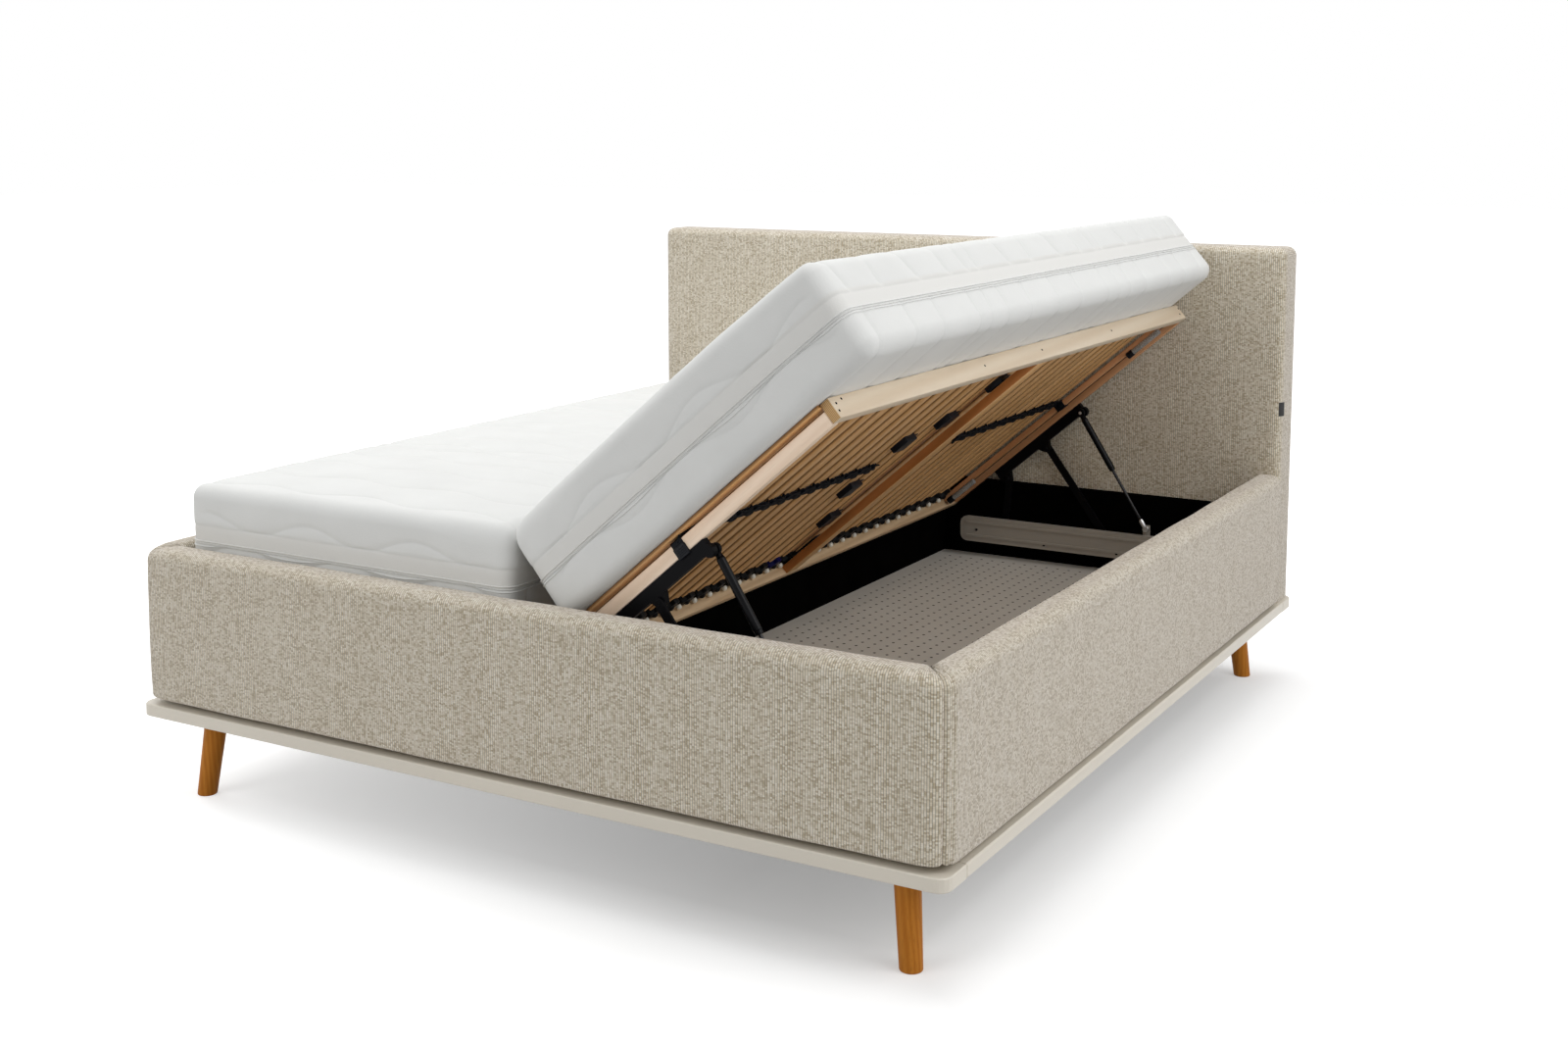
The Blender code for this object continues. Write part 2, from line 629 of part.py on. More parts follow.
def guide_rail(side, end):
    """Ribbed cream rail on an end panel, with the links' lower pivots and the spring's tab."""
    corner = GUIDE_CORNER
    low, high = layer(end, GUIDE_NEAR, GUIDE_THICK)
    outline = [(GUIDE_END, GUIDE_BOTTOM), (GUIDE_END, GUIDE_TOP),
               *arc((GUIDE_START + corner, GUIDE_TOP - corner), corner, pi / 2, pi, 3),
               *arc((GUIDE_START + corner, GUIDE_BOTTOM + corner), corner, pi, 3 * pi / 2, 3)]
    plate = upright(side, outline, low, high)
    stubs = []
    for share in GUIDE_RIB_SHARES:
        level = GUIDE_BOTTOM + share * GUIDE_HEIGHT
        front = layer(end, GUIDE_NEAR + GUIDE_THICK - OVERRUN, OVERRUN + GUIDE_RIB)
        stubs.append(side_box(side, GUIDE_START + corner, GUIDE_END - corner, *front,
                              level, level + GUIDE_RIB_HEIGHT))
    behind = layer(end, SEAT, GUIDE_NEAR + OVERRUN - SEAT)
    for share in SPACER_PLACES_SHARE:
        start = GUIDE_START + share * (GUIDE_END - GUIDE_START)
        stubs.append(side_box(side, start, start + SPACER_LENGTH, *behind,
                              GUIDE_BOTTOM + OVERRUN, GUIDE_BOTTOM + OVERRUN + SPACER_HEIGHT))
    boss_tip = depth(end, LINK_NEAR + LINK_THICK + SEAT)
    root = depth(end, GUIDE_NEAR + OVERRUN)
    pin_tip = depth(end, SEAT)
    stubs.append(pin(side, OUTER_BASE, root, boss_tip, BOSS_RADIUS))
    stubs.append(pin(side, INNER_BASE, root, pin_tip, PIN_RADIUS))
    tab = layer(end, GUIDE_NEAR, SPRING_LAYER - BALL_THICK / 2 - SEAT - GUIDE_NEAR)
    stubs.append(side_box(side, SPRING_FOOT[0] - TAB_HALF, SPRING_FOOT[0] + TAB_HALF, *tab,
                          GUIDE_TOP - OVERRUN, SPRING_FOOT[1] + TAB_HALF))
    name = f"{SIDE_NAMES[side]}_{END_NAMES[end]}_guide_rail"
    return smooth(place(fuse(plate, *stubs), name, GUIDE_PAINT))


# Slat frame. Drawn closed, carried by the half's frame slide

def frame_piece(side, carrier, mesh, name, material, arris=WOOD_ARRIS):
    pivot = (side * LIFT_AXIS[0], 0, LIFT_AXIS[1])
    if arris:
        mesh = rounded(mesh, arris, 1)
    return place(mesh, f"{SIDE_NAMES[side]}_{name}", material, carrier, pivot)


def slat_frame(side, carrier):
    long_rails = {"slat_frame_outer_rail": FRAME_OUTER - FRAME_RAIL,
                  "slat_frame_inner_rail": FRAME_INNER}
    for name, start in long_rails.items():
        rail = side_box(side, start, start + FRAME_RAIL, FRAME_FOOT, FRAME_HEAD, FRAME_BOTTOM,
                        FRAME_TOP)
        frame_piece(side, carrier, rail, name, BIRCH)
    inner = FRAME_INNER + FRAME_RAIL + SEAT
    outer = FRAME_OUTER - FRAME_RAIL - SEAT
    centre = (FRAME_FOOT + FRAME_HEAD) / 2
    bars = {"slat_frame_foot_bar": (FRAME_FOOT, FRAME_FOOT + BAR_THICK),
            "slat_frame_head_bar": (FRAME_HEAD - BAR_THICK, FRAME_HEAD),
            "slat_frame_centre_bar": (centre - BAR_CENTRE_WIDTH / 2, centre + BAR_CENTRE_WIDTH / 2)}
    for name, (low, high) in bars.items():
        bar = side_box(side, inner, outer, low, high, FRAME_BOTTOM, FRAME_BOTTOM + BAR_HEIGHT)
        frame_piece(side, carrier, bar, name, RED_BEECH if "centre" in name else BEECH)
    slats_and_caps(side, carrier, inner, outer)


def slat_places():
    """Middle of each slat along the bed."""
    first = FRAME_FOOT + CAP_WIDTH / 2
    last = FRAME_HEAD - CAP_WIDTH / 2
    return [first + (last - first) * step / (SLAT_COUNT - 1) for step in range(SLAT_COUNT)]


def many_boxes(boxes):
    """One mesh of separate boxes."""
    edit = bmesh.new()
    for mesh in boxes:
        edit.from_mesh(mesh)
        bpy.data.meshes.remove(mesh)
    whole = bpy.data.meshes.new("boxes")
    edit.to_mesh(whole)
    edit.free()
    return whole


def slats_and_caps(side, carrier, inner, outer):
    """The slats, joined by the strap beneath them, and the rubber caps along the inner rail."""
    cap_end = inner + CAP_DEPTH
    places = slat_places()
    slats = many_boxes([side_box(side, cap_end + SEAT, outer, place_y - SLAT_WIDTH / 2,
                                 place_y + SLAT_WIDTH / 2, SLAT_BOTTOM, FRAME_TOP)
                        for place_y in places])
    strap_x = FRAME_INNER + STRAP_SHARE * (FRAME_OUTER - FRAME_INNER)
    strap = side_box(side, strap_x - STRAP_WIDTH / 2, strap_x + STRAP_WIDTH / 2,
                     places[0] - SLAT_WIDTH / 3, places[-1] + SLAT_WIDTH / 3,
                     SLAT_BOTTOM - STRAP_THICK / 2, SLAT_BOTTOM + STRAP_THICK / 2)
    frame_piece(side, carrier, fuse(strap, slats), "slats", BEECH, 0)
    cap_low = FRAME_BOTTOM + BAR_HEIGHT + SEAT
    caps = many_boxes([side_box(side, inner, cap_end, place_y - CAP_WIDTH / 2,
                                place_y + CAP_WIDTH / 2, cap_low, FRAME_TOP)
                       for place_y in places])
    above = cap_low + CAP_RAIL_LIFT
    runner = side_box(side, inner, inner + CAP_RAIL_DEPTH, places[0], places[-1], above,
                      above + CAP_RAIL_HEIGHT)
    frame_piece(side, carrier, fuse(runner, caps), "slat_caps", RUBBER, 0)


# Arms, links and gas springs

def arm(side, end, lift):
    """Steel arm under a cross bar, with ears and pins at its three pivots."""
    top = FRAME_BOTTOM - SEAT
    low = top - ARM_DEPTH
    tip = SPRING_PIVOT
    ear = ARM_EAR
    outline = [(ARM_START, top), (tip[0] + ARM_TIP_RADIUS / 2, top),
               *arc(tip, ARM_TIP_RADIUS, pi / 3, -pi / 2, 5),
               (tip[0] - ARM_TIP_RADIUS, low),
               (OUTER_PIVOT[0] + ear, low),
               *arc(OUTER_PIVOT, EYE_RADIUS, -pi / 4, -3 * pi / 4, 3),
               (OUTER_PIVOT[0] - ear, low), (INNER_PIVOT[0] + ear, low),
               *arc(INNER_PIVOT, EYE_RADIUS, -pi / 4, -3 * pi / 4, 3),
               (ARM_START, INNER_PIVOT[1])]
    web = upright(side, outline, *layer(end, ARM_NEAR, ARM_THICK))
    face = depth(end, ARM_NEAR + OVERRUN)
    link_pin = pin(side, OUTER_PIVOT, face, depth(end, LINK_NEAR), PIN_RADIUS)
    back = depth(end, ARM_NEAR + ARM_THICK - OVERRUN)
    spring_side = depth(end, SPRING_LAYER + CYLINDER_EYE_THICK / 2 + SEAT)
    spring_pin = pin(side, tip, back, spring_side, PIN_RADIUS)
    pivot = (side * LIFT_AXIS[0], 0, LIFT_AXIS[1])
    name = f"{SIDE_NAMES[side]}_{END_NAMES[end]}_arm"
    return smooth(place(fuse(web, link_pin, spring_pin), name, BLACK_STEEL, lift, pivot))


def link(side, end, start, finish_point, eye_at, name, carrier):
    """A flat link with round ends and one pin eye, drawn between two closed pivots."""
    heading = bearing(start, finish_point)
    half = LINK_HALF
    outline = [*arc(start, half, heading + pi / 2, heading + 3 * pi / 2, LINK_SIDES // 2),
               *arc(finish_point, half, heading - pi / 2, heading + pi / 2, LINK_SIDES // 2)]
    low, high = layer(end, LINK_NEAR, LINK_THICK)
    bar = upright(side, outline, low, high)
    hole = pin(side, eye_at, low - OVERRUN, high + OVERRUN, PIN_RADIUS + RUN)
    pivot = (side * eye_at[0], 0, eye_at[1])
    full = f"{SIDE_NAMES[side]}_{END_NAMES[end]}_{name}"
    return smooth(place(cut(bar, hole), full, BLACK_STEEL, carrier, pivot))


def along_spring(side, end, distance):
    """Point on a closed gas spring's axis, measured from its upper pivot."""
    heading = bearing(SPRING_PIVOT, SPRING_FOOT)
    return Vector((side * (SPRING_PIVOT[0] + distance * cos(heading)), depth(end, SPRING_LAYER),
                   SPRING_PIVOT[1] + distance * sin(heading)))


def disc(side, end, point, radius, thick):
    """A round lug lying in the gas spring's layer."""
    return pin(side, point, *layer(end, SPRING_LAYER - thick / 2, thick), radius)


def cylinder(side, end, carrier):
    """Gas cylinder with the eye that hangs on the arm's pin and the bore for its rod."""
    tube = rod_along(along_spring(side, end, CYLINDER_START), along_spring(side, end, CYLINDER_END),
                     CYLINDER_RADIUS)
    lug = disc(side, end, SPRING_PIVOT, EYE_RADIUS, CYLINDER_EYE_THICK)
    hole = disc(side, end, SPRING_PIVOT, PIN_RADIUS + RUN, CYLINDER_RADIUS * 2 + OVERRUN)
    bore = rod_along(along_spring(side, end, BORE_START),
                     along_spring(side, end, CYLINDER_END + OVERRUN), ROD_RADIUS + RUN)
    pivot = (side * SPRING_PIVOT[0], 0, SPRING_PIVOT[1])
    name = f"{SIDE_NAMES[side]}_{END_NAMES[end]}_gas_cylinder"
    return smooth(place(cut(fuse(tube, lug), hole, bore), name, BLACK_STEEL, carrier, pivot))


def piston_rod(side, end, carrier):
    """Rod with its lower joint, long enough to stay in the cylinder when the half is raised."""
    length = SPRING_LONG - CYLINDER_END + ROD_OVERLAP
    shaft = rod_along(along_spring(side, end, SPRING_SHORT - length),
                      along_spring(side, end, SPRING_SHORT), ROD_RADIUS, ROUND_STEPS - 4)
    ball = disc(side, end, SPRING_FOOT, BALL_RADIUS, BALL_THICK)
    pivot = (side * SPRING_PIVOT[0], 0, SPRING_PIVOT[1])
    name = f"{SIDE_NAMES[side]}_{END_NAMES[end]}_piston_rod"
    return smooth(place(fuse(shaft, ball), name, ROD_STEEL, carrier, pivot))


# Mattress

def mattress_section(side):
    """Cross-section of a mattress, from its inner lower edge round to its outer lower edge."""
    height = MATTRESS_TOP - MATTRESS_BOTTOM
    low = MATTRESS_BOTTOM_ROUND
    draw = MATTRESS_DRAW_IN
    turns = (0, pi / 4, pi / 2)
    flank = [(low * (1 - sin(turn)), low * (1 - cos(turn))) for turn in turns]
    flank += [(draw / 2, ZIP_HEIGHT - ZIP_HALF), (draw * 2, ZIP_HEIGHT),
              (draw / 2, ZIP_HEIGHT + ZIP_HALF), (draw, BORDER_HEIGHT)]

    def shoulder(radius):
        return [(radius * (1 - cos(turn)), height - radius * (1 - sin(turn))) for turn in turns]

    inner, outer = MATTRESS_INNER, MATTRESS_OUTER
    near = flank + shoulder(MATTRESS_INNER_ROUND)
    far = flank + shoulder(MATTRESS_TOP_ROUND)
    loop = [(inner + inset, MATTRESS_BOTTOM + z) for inset, z in near]
    loop += [(inner + (outer - inner) * share, MATTRESS_TOP + MATTRESS_CROWN * lift_share)
             for share, lift_share in CROWN_SHARES]
    loop += [(outer - inset, MATTRESS_BOTTOM + z) for inset, z in reversed(far)]
    return [(side * x, z) for x, z in loop]


def mattress_stations():
    """Places along the mattress with how far the section shrinks there."""
    foot = FOOT_INNER + MATTRESS_FOOT_AIR
    head = HEAD_FACE - MATTRESS_HEAD_AIR
    ends = MATTRESS_END_ROUND
    turns = [pi / 2 * step / 3 for step in range(4)]
    rows = [(foot + ends * (1 - sin(turn)), ends * (1 - cos(turn))) for turn in reversed(turns)]
    first, last = foot + ends, head - ends
    pitch = (last - first) / (MATTRESS_CHANNELS + 1)
    for channel in range(1, MATTRESS_CHANNELS + 1):
        rows.append((first + pitch * (channel - 0.5), 0))
        rows.append((first + pitch * channel, MATTRESS_CHANNEL))
    rows.append((last - pitch / 2, 0))
    rows += [(head - ends * (1 - sin(turn)), ends * (1 - cos(turn))) for turn in turns]
    return rows


def mattress(side, lift):
    """A crowned mattress lofted along the bed, with a zip groove and quilting channels."""
    loop = mattress_section(side)
    middle = side * (MATTRESS_INNER + MATTRESS_OUTER) / 2
    half_width = (MATTRESS_OUTER - MATTRESS_INNER) / 2
    level = (MATTRESS_TOP + MATTRESS_BOTTOM) / 2
    half_height = (MATTRESS_TOP - MATTRESS_BOTTOM) / 2
    edit = bmesh.new()
    rings = []
    for along, shrink in mattress_stations():
        wide = 1 - shrink / half_width
        tall = 1 - shrink / half_height
        ring = []
        for x, z in loop:
            height = level + (z - level) * tall
            if z - MATTRESS_BOTTOM < SEAT and shrink <= MATTRESS_CHANNEL:
                height = z
            ring.append(edit.verts.new((middle + (x - middle) * wide, along, height)))
        rings.append(ring)
    count = len(loop)
    for ring, following in zip(rings, rings[1:]):
        for step in range(count):
            after = (step + 1) % count
            edit.faces.new((ring[step], ring[after], following[after], following[step]))
    edit.faces.new(rings[0])
    edit.faces.new(rings[-1])
    bmesh.ops.recalc_face_normals(edit, faces=edit.faces)
    mesh = bpy.data.meshes.new("mattress")
    edit.to_mesh(mesh)
    edit.free()
    pivot = (side * LIFT_AXIS[0], 0, LIFT_AXIS[1])
    return smooth(place(mesh, f"{SIDE_NAMES[side]}_mattress", TICKING, lift, pivot))


# Assembly

for which_end in (1, -1):
    plinth_end(which_end)
    end_panel(which_end)
rails()
headboard()
middle_pieces()

for half in (1, -1):
    word = SIDE_NAMES[half]
    plinth_side(half)
    side_panel(half)
    storage_floor(half)
    lift_axis = joint(f"{word}_lift_axis", half, LIFT_AXIS, LIFT_ANGLE)
    slide = joint(f"{word}_frame_slide", half, (0, 0), 0, lift_axis)
    slide.location.x = -half * FRAME_SLIDE * OPEN_SHARES[half]
    outer_axis = joint(f"{word}_outer_link_axis", half, OUTER_PIVOT, OUTER_TURN, lift_axis, LIFT_AXIS)
    inner_axis = joint(f"{word}_inner_link_axis", half, INNER_BASE, INNER_TURN)
    spring_axis = joint(f"{word}_spring_axis", half, SPRING_PIVOT, SPRING_TURN, lift_axis, LIFT_AXIS)
    stroke = (SPRING_LONG - SPRING_SHORT) * OPEN_SHARES[half]
    direction = bearing(SPRING_PIVOT, SPRING_FOOT)
    rod_slide = joint(f"{word}_rod_slide", half, (stroke * cos(direction), stroke * sin(direction)), 0,
                      spring_axis)
    slat_frame(half, slide)
    mattress(half, lift_axis)
    for which_end in (1, -1):
        leg(half, which_end)
        guide_rail(half, which_end)
        arm(half, which_end, lift_axis)
        link(half, which_end, OUTER_PIVOT, OUTER_BASE, OUTER_PIVOT, "outer_link", outer_axis)
        link(half, which_end, INNER_BASE, INNER_PIVOT, INNER_BASE, "inner_link", inner_axis)
        cylinder(half, which_end, spring_axis)
        piston_rod(half, which_end, rod_slide)

for leftover in list(helpers.objects):
    bpy.data.objects.remove(leftover, do_unlink=True)
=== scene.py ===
# %% [markdown]
# # A double storage bed with two lifting halves
# The bed is a cloth-covered box on a pale lacquered plinth with four turned wooden legs. Inside,
# two slat frames lie on steel arms, and gas springs push each half up sideways so that the
# storage floor below can be reached. The right half stands open and the left half is closed.
# This lesson dresses the plain solids of the bed in finished pieces and materials, one step at a
# time. First the solids are loaded. They stay in the scene, and their boxes give the finished pieces
# their sizes.

# %% Load the plain solids
import json
import math
import bmesh
import bpy
import numpy as np
from mathutils import Matrix, Vector, noise


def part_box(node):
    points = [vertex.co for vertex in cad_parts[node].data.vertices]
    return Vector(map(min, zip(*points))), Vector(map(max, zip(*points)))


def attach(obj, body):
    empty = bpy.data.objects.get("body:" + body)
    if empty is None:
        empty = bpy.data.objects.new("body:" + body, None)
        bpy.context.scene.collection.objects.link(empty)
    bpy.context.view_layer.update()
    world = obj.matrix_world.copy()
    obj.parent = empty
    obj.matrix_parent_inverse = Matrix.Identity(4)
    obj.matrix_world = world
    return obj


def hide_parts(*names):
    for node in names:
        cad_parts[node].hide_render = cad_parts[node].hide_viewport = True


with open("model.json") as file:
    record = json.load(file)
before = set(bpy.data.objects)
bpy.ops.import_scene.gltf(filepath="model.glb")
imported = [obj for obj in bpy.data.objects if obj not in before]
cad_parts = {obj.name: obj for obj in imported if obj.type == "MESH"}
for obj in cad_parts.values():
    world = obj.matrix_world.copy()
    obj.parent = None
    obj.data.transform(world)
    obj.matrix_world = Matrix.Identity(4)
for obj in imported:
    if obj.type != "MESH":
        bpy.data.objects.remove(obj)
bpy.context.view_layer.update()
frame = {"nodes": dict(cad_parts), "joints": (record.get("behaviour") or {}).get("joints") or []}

nodes = frame["nodes"]
scene = bpy.context.scene
print("Solids loaded:", len(nodes))

# %% [markdown]
# ## Camera
# The photographer stood to the right of the foot end and looked slightly down. The tilt is kept
# small, and the frame is shifted downwards instead, which keeps the upright edges almost upright.

# %% Camera
CAMERA_PLACE = (2.2307, -3.8286, 1.4801)
CAMERA_TILT, CAMERA_HEADING = 83.22, 29.93
CAMERA_LENS, CAMERA_SHIFT = 42.74, -0.1147

camera_data = bpy.data.cameras.new("camera")
camera_data.lens = CAMERA_LENS
camera_data.sensor_width = 36
camera_data.shift_y = CAMERA_SHIFT
camera = bpy.data.objects.new("camera", camera_data)
camera.location = CAMERA_PLACE
camera.rotation_euler = (math.radians(CAMERA_TILT), 0, math.radians(CAMERA_HEADING))
scene.collection.objects.link(camera)
scene.camera = camera
scene.view_settings.view_transform = "Standard"
print("Camera stands at", CAMERA_PLACE)

# %% [markdown]
# ## Building node trees
# Materials and Geometry Nodes are both networks of nodes. One helper adds a node, sets its
# options and fills its inputs: a socket is linked, and anything else becomes the input's value.

# %% Helper for nodes
def fill(tree, node, sockets):
    """Link or set inputs of a node, and return it."""
    for key, value in sockets.items():
        if isinstance(value, bpy.types.NodeSocket):
            tree.links.new(value, node.inputs[key])
        else:
            node.inputs[key].default_value = value
    return node


def add(tree, kind, sockets=None, **options):
    """Add a node to a tree, link or set its inputs, and return it."""
    made = tree.nodes.new(kind)
    for key, value in options.items():
        setattr(made, key, value)
    return fill(tree, made, sockets or {})


def math_node(tree, operation, *values, clamp=False):
    """A Math node on up to three values or sockets; returns its output."""
    return add(tree, "ShaderNodeMath", dict(enumerate(values)), operation=operation,
               use_clamp=clamp).outputs[0]


def mix_colour(tree, amount, first, second, blend="MIX"):
    """Mix two colours or colour sockets; returns the colour."""
    return add(tree, "ShaderNodeMix", {0: amount, 6: first, 7: second}, data_type="RGBA",
               blend_type=blend).outputs[2]


def spread(tree, value, low, high, new_low=0.0, new_high=1.0):
    """Map a range of values onto another, clamped; returns the value."""
    sockets = dict(enumerate((value, low, high, new_low, new_high)))
    return add(tree, "ShaderNodeMapRange", sockets).outputs[0]


def shader_group(name, inputs, outputs):
    """Start a shader node group; returns the tree, its inputs and its output node."""
    tree = bpy.data.node_groups.new(name, "ShaderNodeTree")
    for label, value in inputs.items():
        kind = "NodeSocketVector" if value is None else "NodeSocketFloat"
        socket = tree.interface.new_socket(label, in_out="INPUT", socket_type=kind)
        if value is not None:
            socket.default_value = value
    for label in outputs:
        tree.interface.new_socket(label, in_out="OUTPUT", socket_type="NodeSocketFloat")
    return tree, add(tree, "NodeGroupInput").outputs, add(tree, "NodeGroupOutput")


def use_group(tree, group, sockets):
    """Place a shader group in a material with its own values; returns its outputs."""
    return add(tree, "ShaderNodeGroup", sockets, node_tree=group).outputs


def split(tree, vector):
    """The X, Y and Z outputs of a vector."""
    return add(tree, "ShaderNodeSeparateXYZ", {0: vector}).outputs


def noise_texture(tree, place, scale, detail):
    return add(tree, "ShaderNodeTexNoise", {"Vector": place, "Scale": scale,
                                            "Detail": detail}).outputs[0]


def opaque(colour):
    """A colour with full alpha, as colour sockets want it."""
    return (*colour, 1.0)


def grey_level(tree, value):
    """A grey colour of a varying level."""
    return add(tree, "ShaderNodeCombineColor", {0: value, 1: value, 2: value}).outputs[0]


print("Node helpers ready")

# %% [markdown]
# ## Studio
# The photo is lit by soft boxes over a white floor. The floor takes the bed's shadow with its
# diffuse part and is lifted to white for the camera alone, so that no extra light reaches the bed.
# The world does the same: the camera and mirrors see white, and the bed sees a plain soft sky.

# %% Floor and world
FLOOR_HALF, BED_HALVES = 30.0, (0.97, 1.09)
SKY_STRENGTH, FLOOR_WHITE = 0.41, 0.62
# the floor's own light for the camera: under the bed, at its edge, and more of it with distance
LIFT_UNDER, LIFT_EDGE, LIFT_BEYOND, LIFT_REACH = 0.33, 0.56, 0.44, 1.2
# more light close to the bed's left end, and a little less close to its right
LEFT_END, LEFT_END_LIFT, RIGHT_END, RIGHT_END_LIFT, END_REACH = -0.85, 0.18, 0.4, -0.06, 0.35


def camera_sees(tree):
    """1 for rays from the camera, a mirror or glass."""
    path = add(tree, "ShaderNodeLightPath")
    seen = math_node(tree, "MAXIMUM", path.outputs["Is Camera Ray"], path.outputs["Is Glossy Ray"])
    return math_node(tree, "MAXIMUM", seen, path.outputs["Is Transmission Ray"])


world = bpy.data.worlds.new("studio")
world.use_nodes = True
sky_tree = world.node_tree
sky_tree.nodes.clear()
WHITE = opaque((1, 1, 1))
soft_sky, white_sky = (add(sky_tree, "ShaderNodeBackground", {"Color": WHITE, "Strength": power})
                       for power in (SKY_STRENGTH, 1.0))
sky_mix = add(sky_tree, "ShaderNodeMixShader",
              {0: camera_sees(sky_tree), 1: soft_sky.outputs[0], 2: white_sky.outputs[0]})
add(sky_tree, "ShaderNodeOutputWorld", {0: sky_mix.outputs[0]})
scene.world = world

floor_material = bpy.data.materials.new("studio_floor")
floor_material.use_nodes = True
floor_tree = floor_material.node_tree
floor_tree.nodes.clear()
floor_matt = add(floor_tree, "ShaderNodeBsdfDiffuse", {"Color": opaque([FLOOR_WHITE] * 3)})
floor_spot = split(floor_tree, add(floor_tree, "ShaderNodeTexCoord").outputs["Object"])
beside, beyond = (math_node(floor_tree, "SUBTRACT", math_node(floor_tree, "ABSOLUTE", output), half)
                  for output, half in zip(floor_spot, BED_HALVES))
away = math_node(floor_tree, "MAXIMUM", beside, beyond)
lifted = math_node(floor_tree, "ADD", spread(floor_tree, away, -0.14, 0.04, LIFT_UNDER, LIFT_EDGE),
                   spread(floor_tree, away, 0.04, LIFT_REACH, 0.0, LIFT_BEYOND))
end_lift = spread(floor_tree, floor_spot[0], LEFT_END, RIGHT_END, LEFT_END_LIFT, RIGHT_END_LIFT)
end_lift = math_node(floor_tree, "MULTIPLY", end_lift,
                     spread(floor_tree, away, 0.0, END_REACH, 1.0, 0.0))
lifted = math_node(floor_tree, "ADD", lifted, end_lift)
floor_glow = add(floor_tree, "ShaderNodeEmission", {"Color": WHITE, "Strength": lifted})
floor_seen = add(floor_tree, "ShaderNodeAddShader",
                 {0: floor_matt.outputs[0], 1: floor_glow.outputs[0]})
floor_mix = add(floor_tree, "ShaderNodeMixShader",
                {0: camera_sees(floor_tree), 1: floor_matt.outputs[0], 2: floor_seen.outputs[0]})
add(floor_tree, "ShaderNodeOutputMaterial", {0: floor_mix.outputs[0]})

floor_mesh = bpy.data.meshes.new("floor")
corners = [(x * FLOOR_HALF, y * FLOOR_HALF, 0) for x, y in ((-1, -1), (1, -1), (1, 1), (-1, 1))]
floor_mesh.from_pydata(corners, [], [(0, 1, 2, 3)])
floor_mesh.materials.append(floor_material)
floor = bpy.data.objects.new("floor", floor_mesh)
scene.collection.objects.link(floor)
print("Floor spans", 2 * FLOOR_HALF, "m")

# %% Lamps
# name, place, size, power in watts
LAMPS = (("overhead_box", (-0.3, 0.6, 4.6), 4.5, 98),
         ("right_box", (4.5, -0.6, 3.5), 3.0, 104),
         ("front_box", (-2.2, -5.2, 3.0), 3.0, 72),
         ("left_box", (-4.6, 0.6, 3.0), 3.0, 72))

for lamp_name, lamp_place, lamp_size, lamp_power in LAMPS:
    lamp_data = bpy.data.lights.new(lamp_name, "AREA")
    lamp_data.shape = "SQUARE"
    lamp_data.size = lamp_size
    lamp_data.energy = lamp_power
    lamp = bpy.data.objects.new(lamp_name, lamp_data)
    lamp.location = lamp_place
    aim = Vector((0, 0, 0.5)) - Vector(lamp_place)
    lamp.rotation_euler = aim.to_track_quat("-Z", "Y").to_euler()
    scene.collection.objects.link(lamp)
print("Lamps:", len(LAMPS))

# %% [markdown]
# ## Effects that several finishes share
# Real surfaces are never one flat colour. Four small shader groups make the differences: a ribbed
# weave for the upholstery, a figure for every wood, a fine mottle for paint, plastic and metal,
# and a light wear along edges. Each material places them with its own sizes.

# %% Ribbed weave
def make_weave_group():
    """Upright ribs, each broken into short knots of differing tone."""
    tree, given, result = shader_group(
        "ribbed_weave", {"Place": None, "Rib": 0.0045, "Knot": 0.006}, ["Tone", "Height"])
    parts = split(tree, given["Place"])
    across = math_node(tree, "DIVIDE", parts[0], given["Rib"])
    along = math_node(tree, "DIVIDE", parts[1], given["Knot"])
    column = math_node(tree, "FLOOR", across)
    shift = add(tree, "ShaderNodeTexWhiteNoise", {"W": column},
                noise_dimensions="1D").outputs["Value"]
    along = math_node(tree, "MULTIPLY_ADD", shift, 9.0, along)
    row = math_node(tree, "FLOOR", along)
    cell = add(tree, "ShaderNodeCombineXYZ", {0: column, 1: row})
    tone = add(tree, "ShaderNodeTexWhiteNoise", {"Vector": cell.outputs[0]},
               noise_dimensions="2D").outputs["Value"]
    tone = math_node(tree, "MULTIPLY_ADD", shift, 0.12, math_node(tree, "MULTIPLY", tone, 0.88))

    def round_top(value, power):
        middle = math_node(tree, "MULTIPLY_ADD", math_node(tree, "FRACT", value), 2.0, -1.0)
        return math_node(tree, "SUBTRACT", 1.0,
                         math_node(tree, "POWER", math_node(tree, "ABSOLUTE", middle), power))

    rib, knot = round_top(across, 2.0), round_top(along, 4.0)
    knot = math_node(tree, "MULTIPLY_ADD", knot, 0.5, 0.5)
    fuzz = noise_texture(tree, given["Place"], 700.0, 2.0)
    height = math_node(tree, "MULTIPLY", rib, knot)
    tall = add(tree, "ShaderNodeMapping", {"Vector": given["Place"], "Scale": (1.0, 0.3, 1.0)})
    patch = math_node(tree, "SUBTRACT", noise_texture(tree, tall.outputs[0], 24.0, 3.0), 0.5)
    fill(tree, result, {"Height": math_node(tree, "MULTIPLY_ADD", fuzz, 0.25, height),
                        "Tone": math_node(tree, "MULTIPLY_ADD", patch, 0.16, tone)})
    return tree


WEAVE = make_weave_group()
print("Shader group:", WEAVE.name)


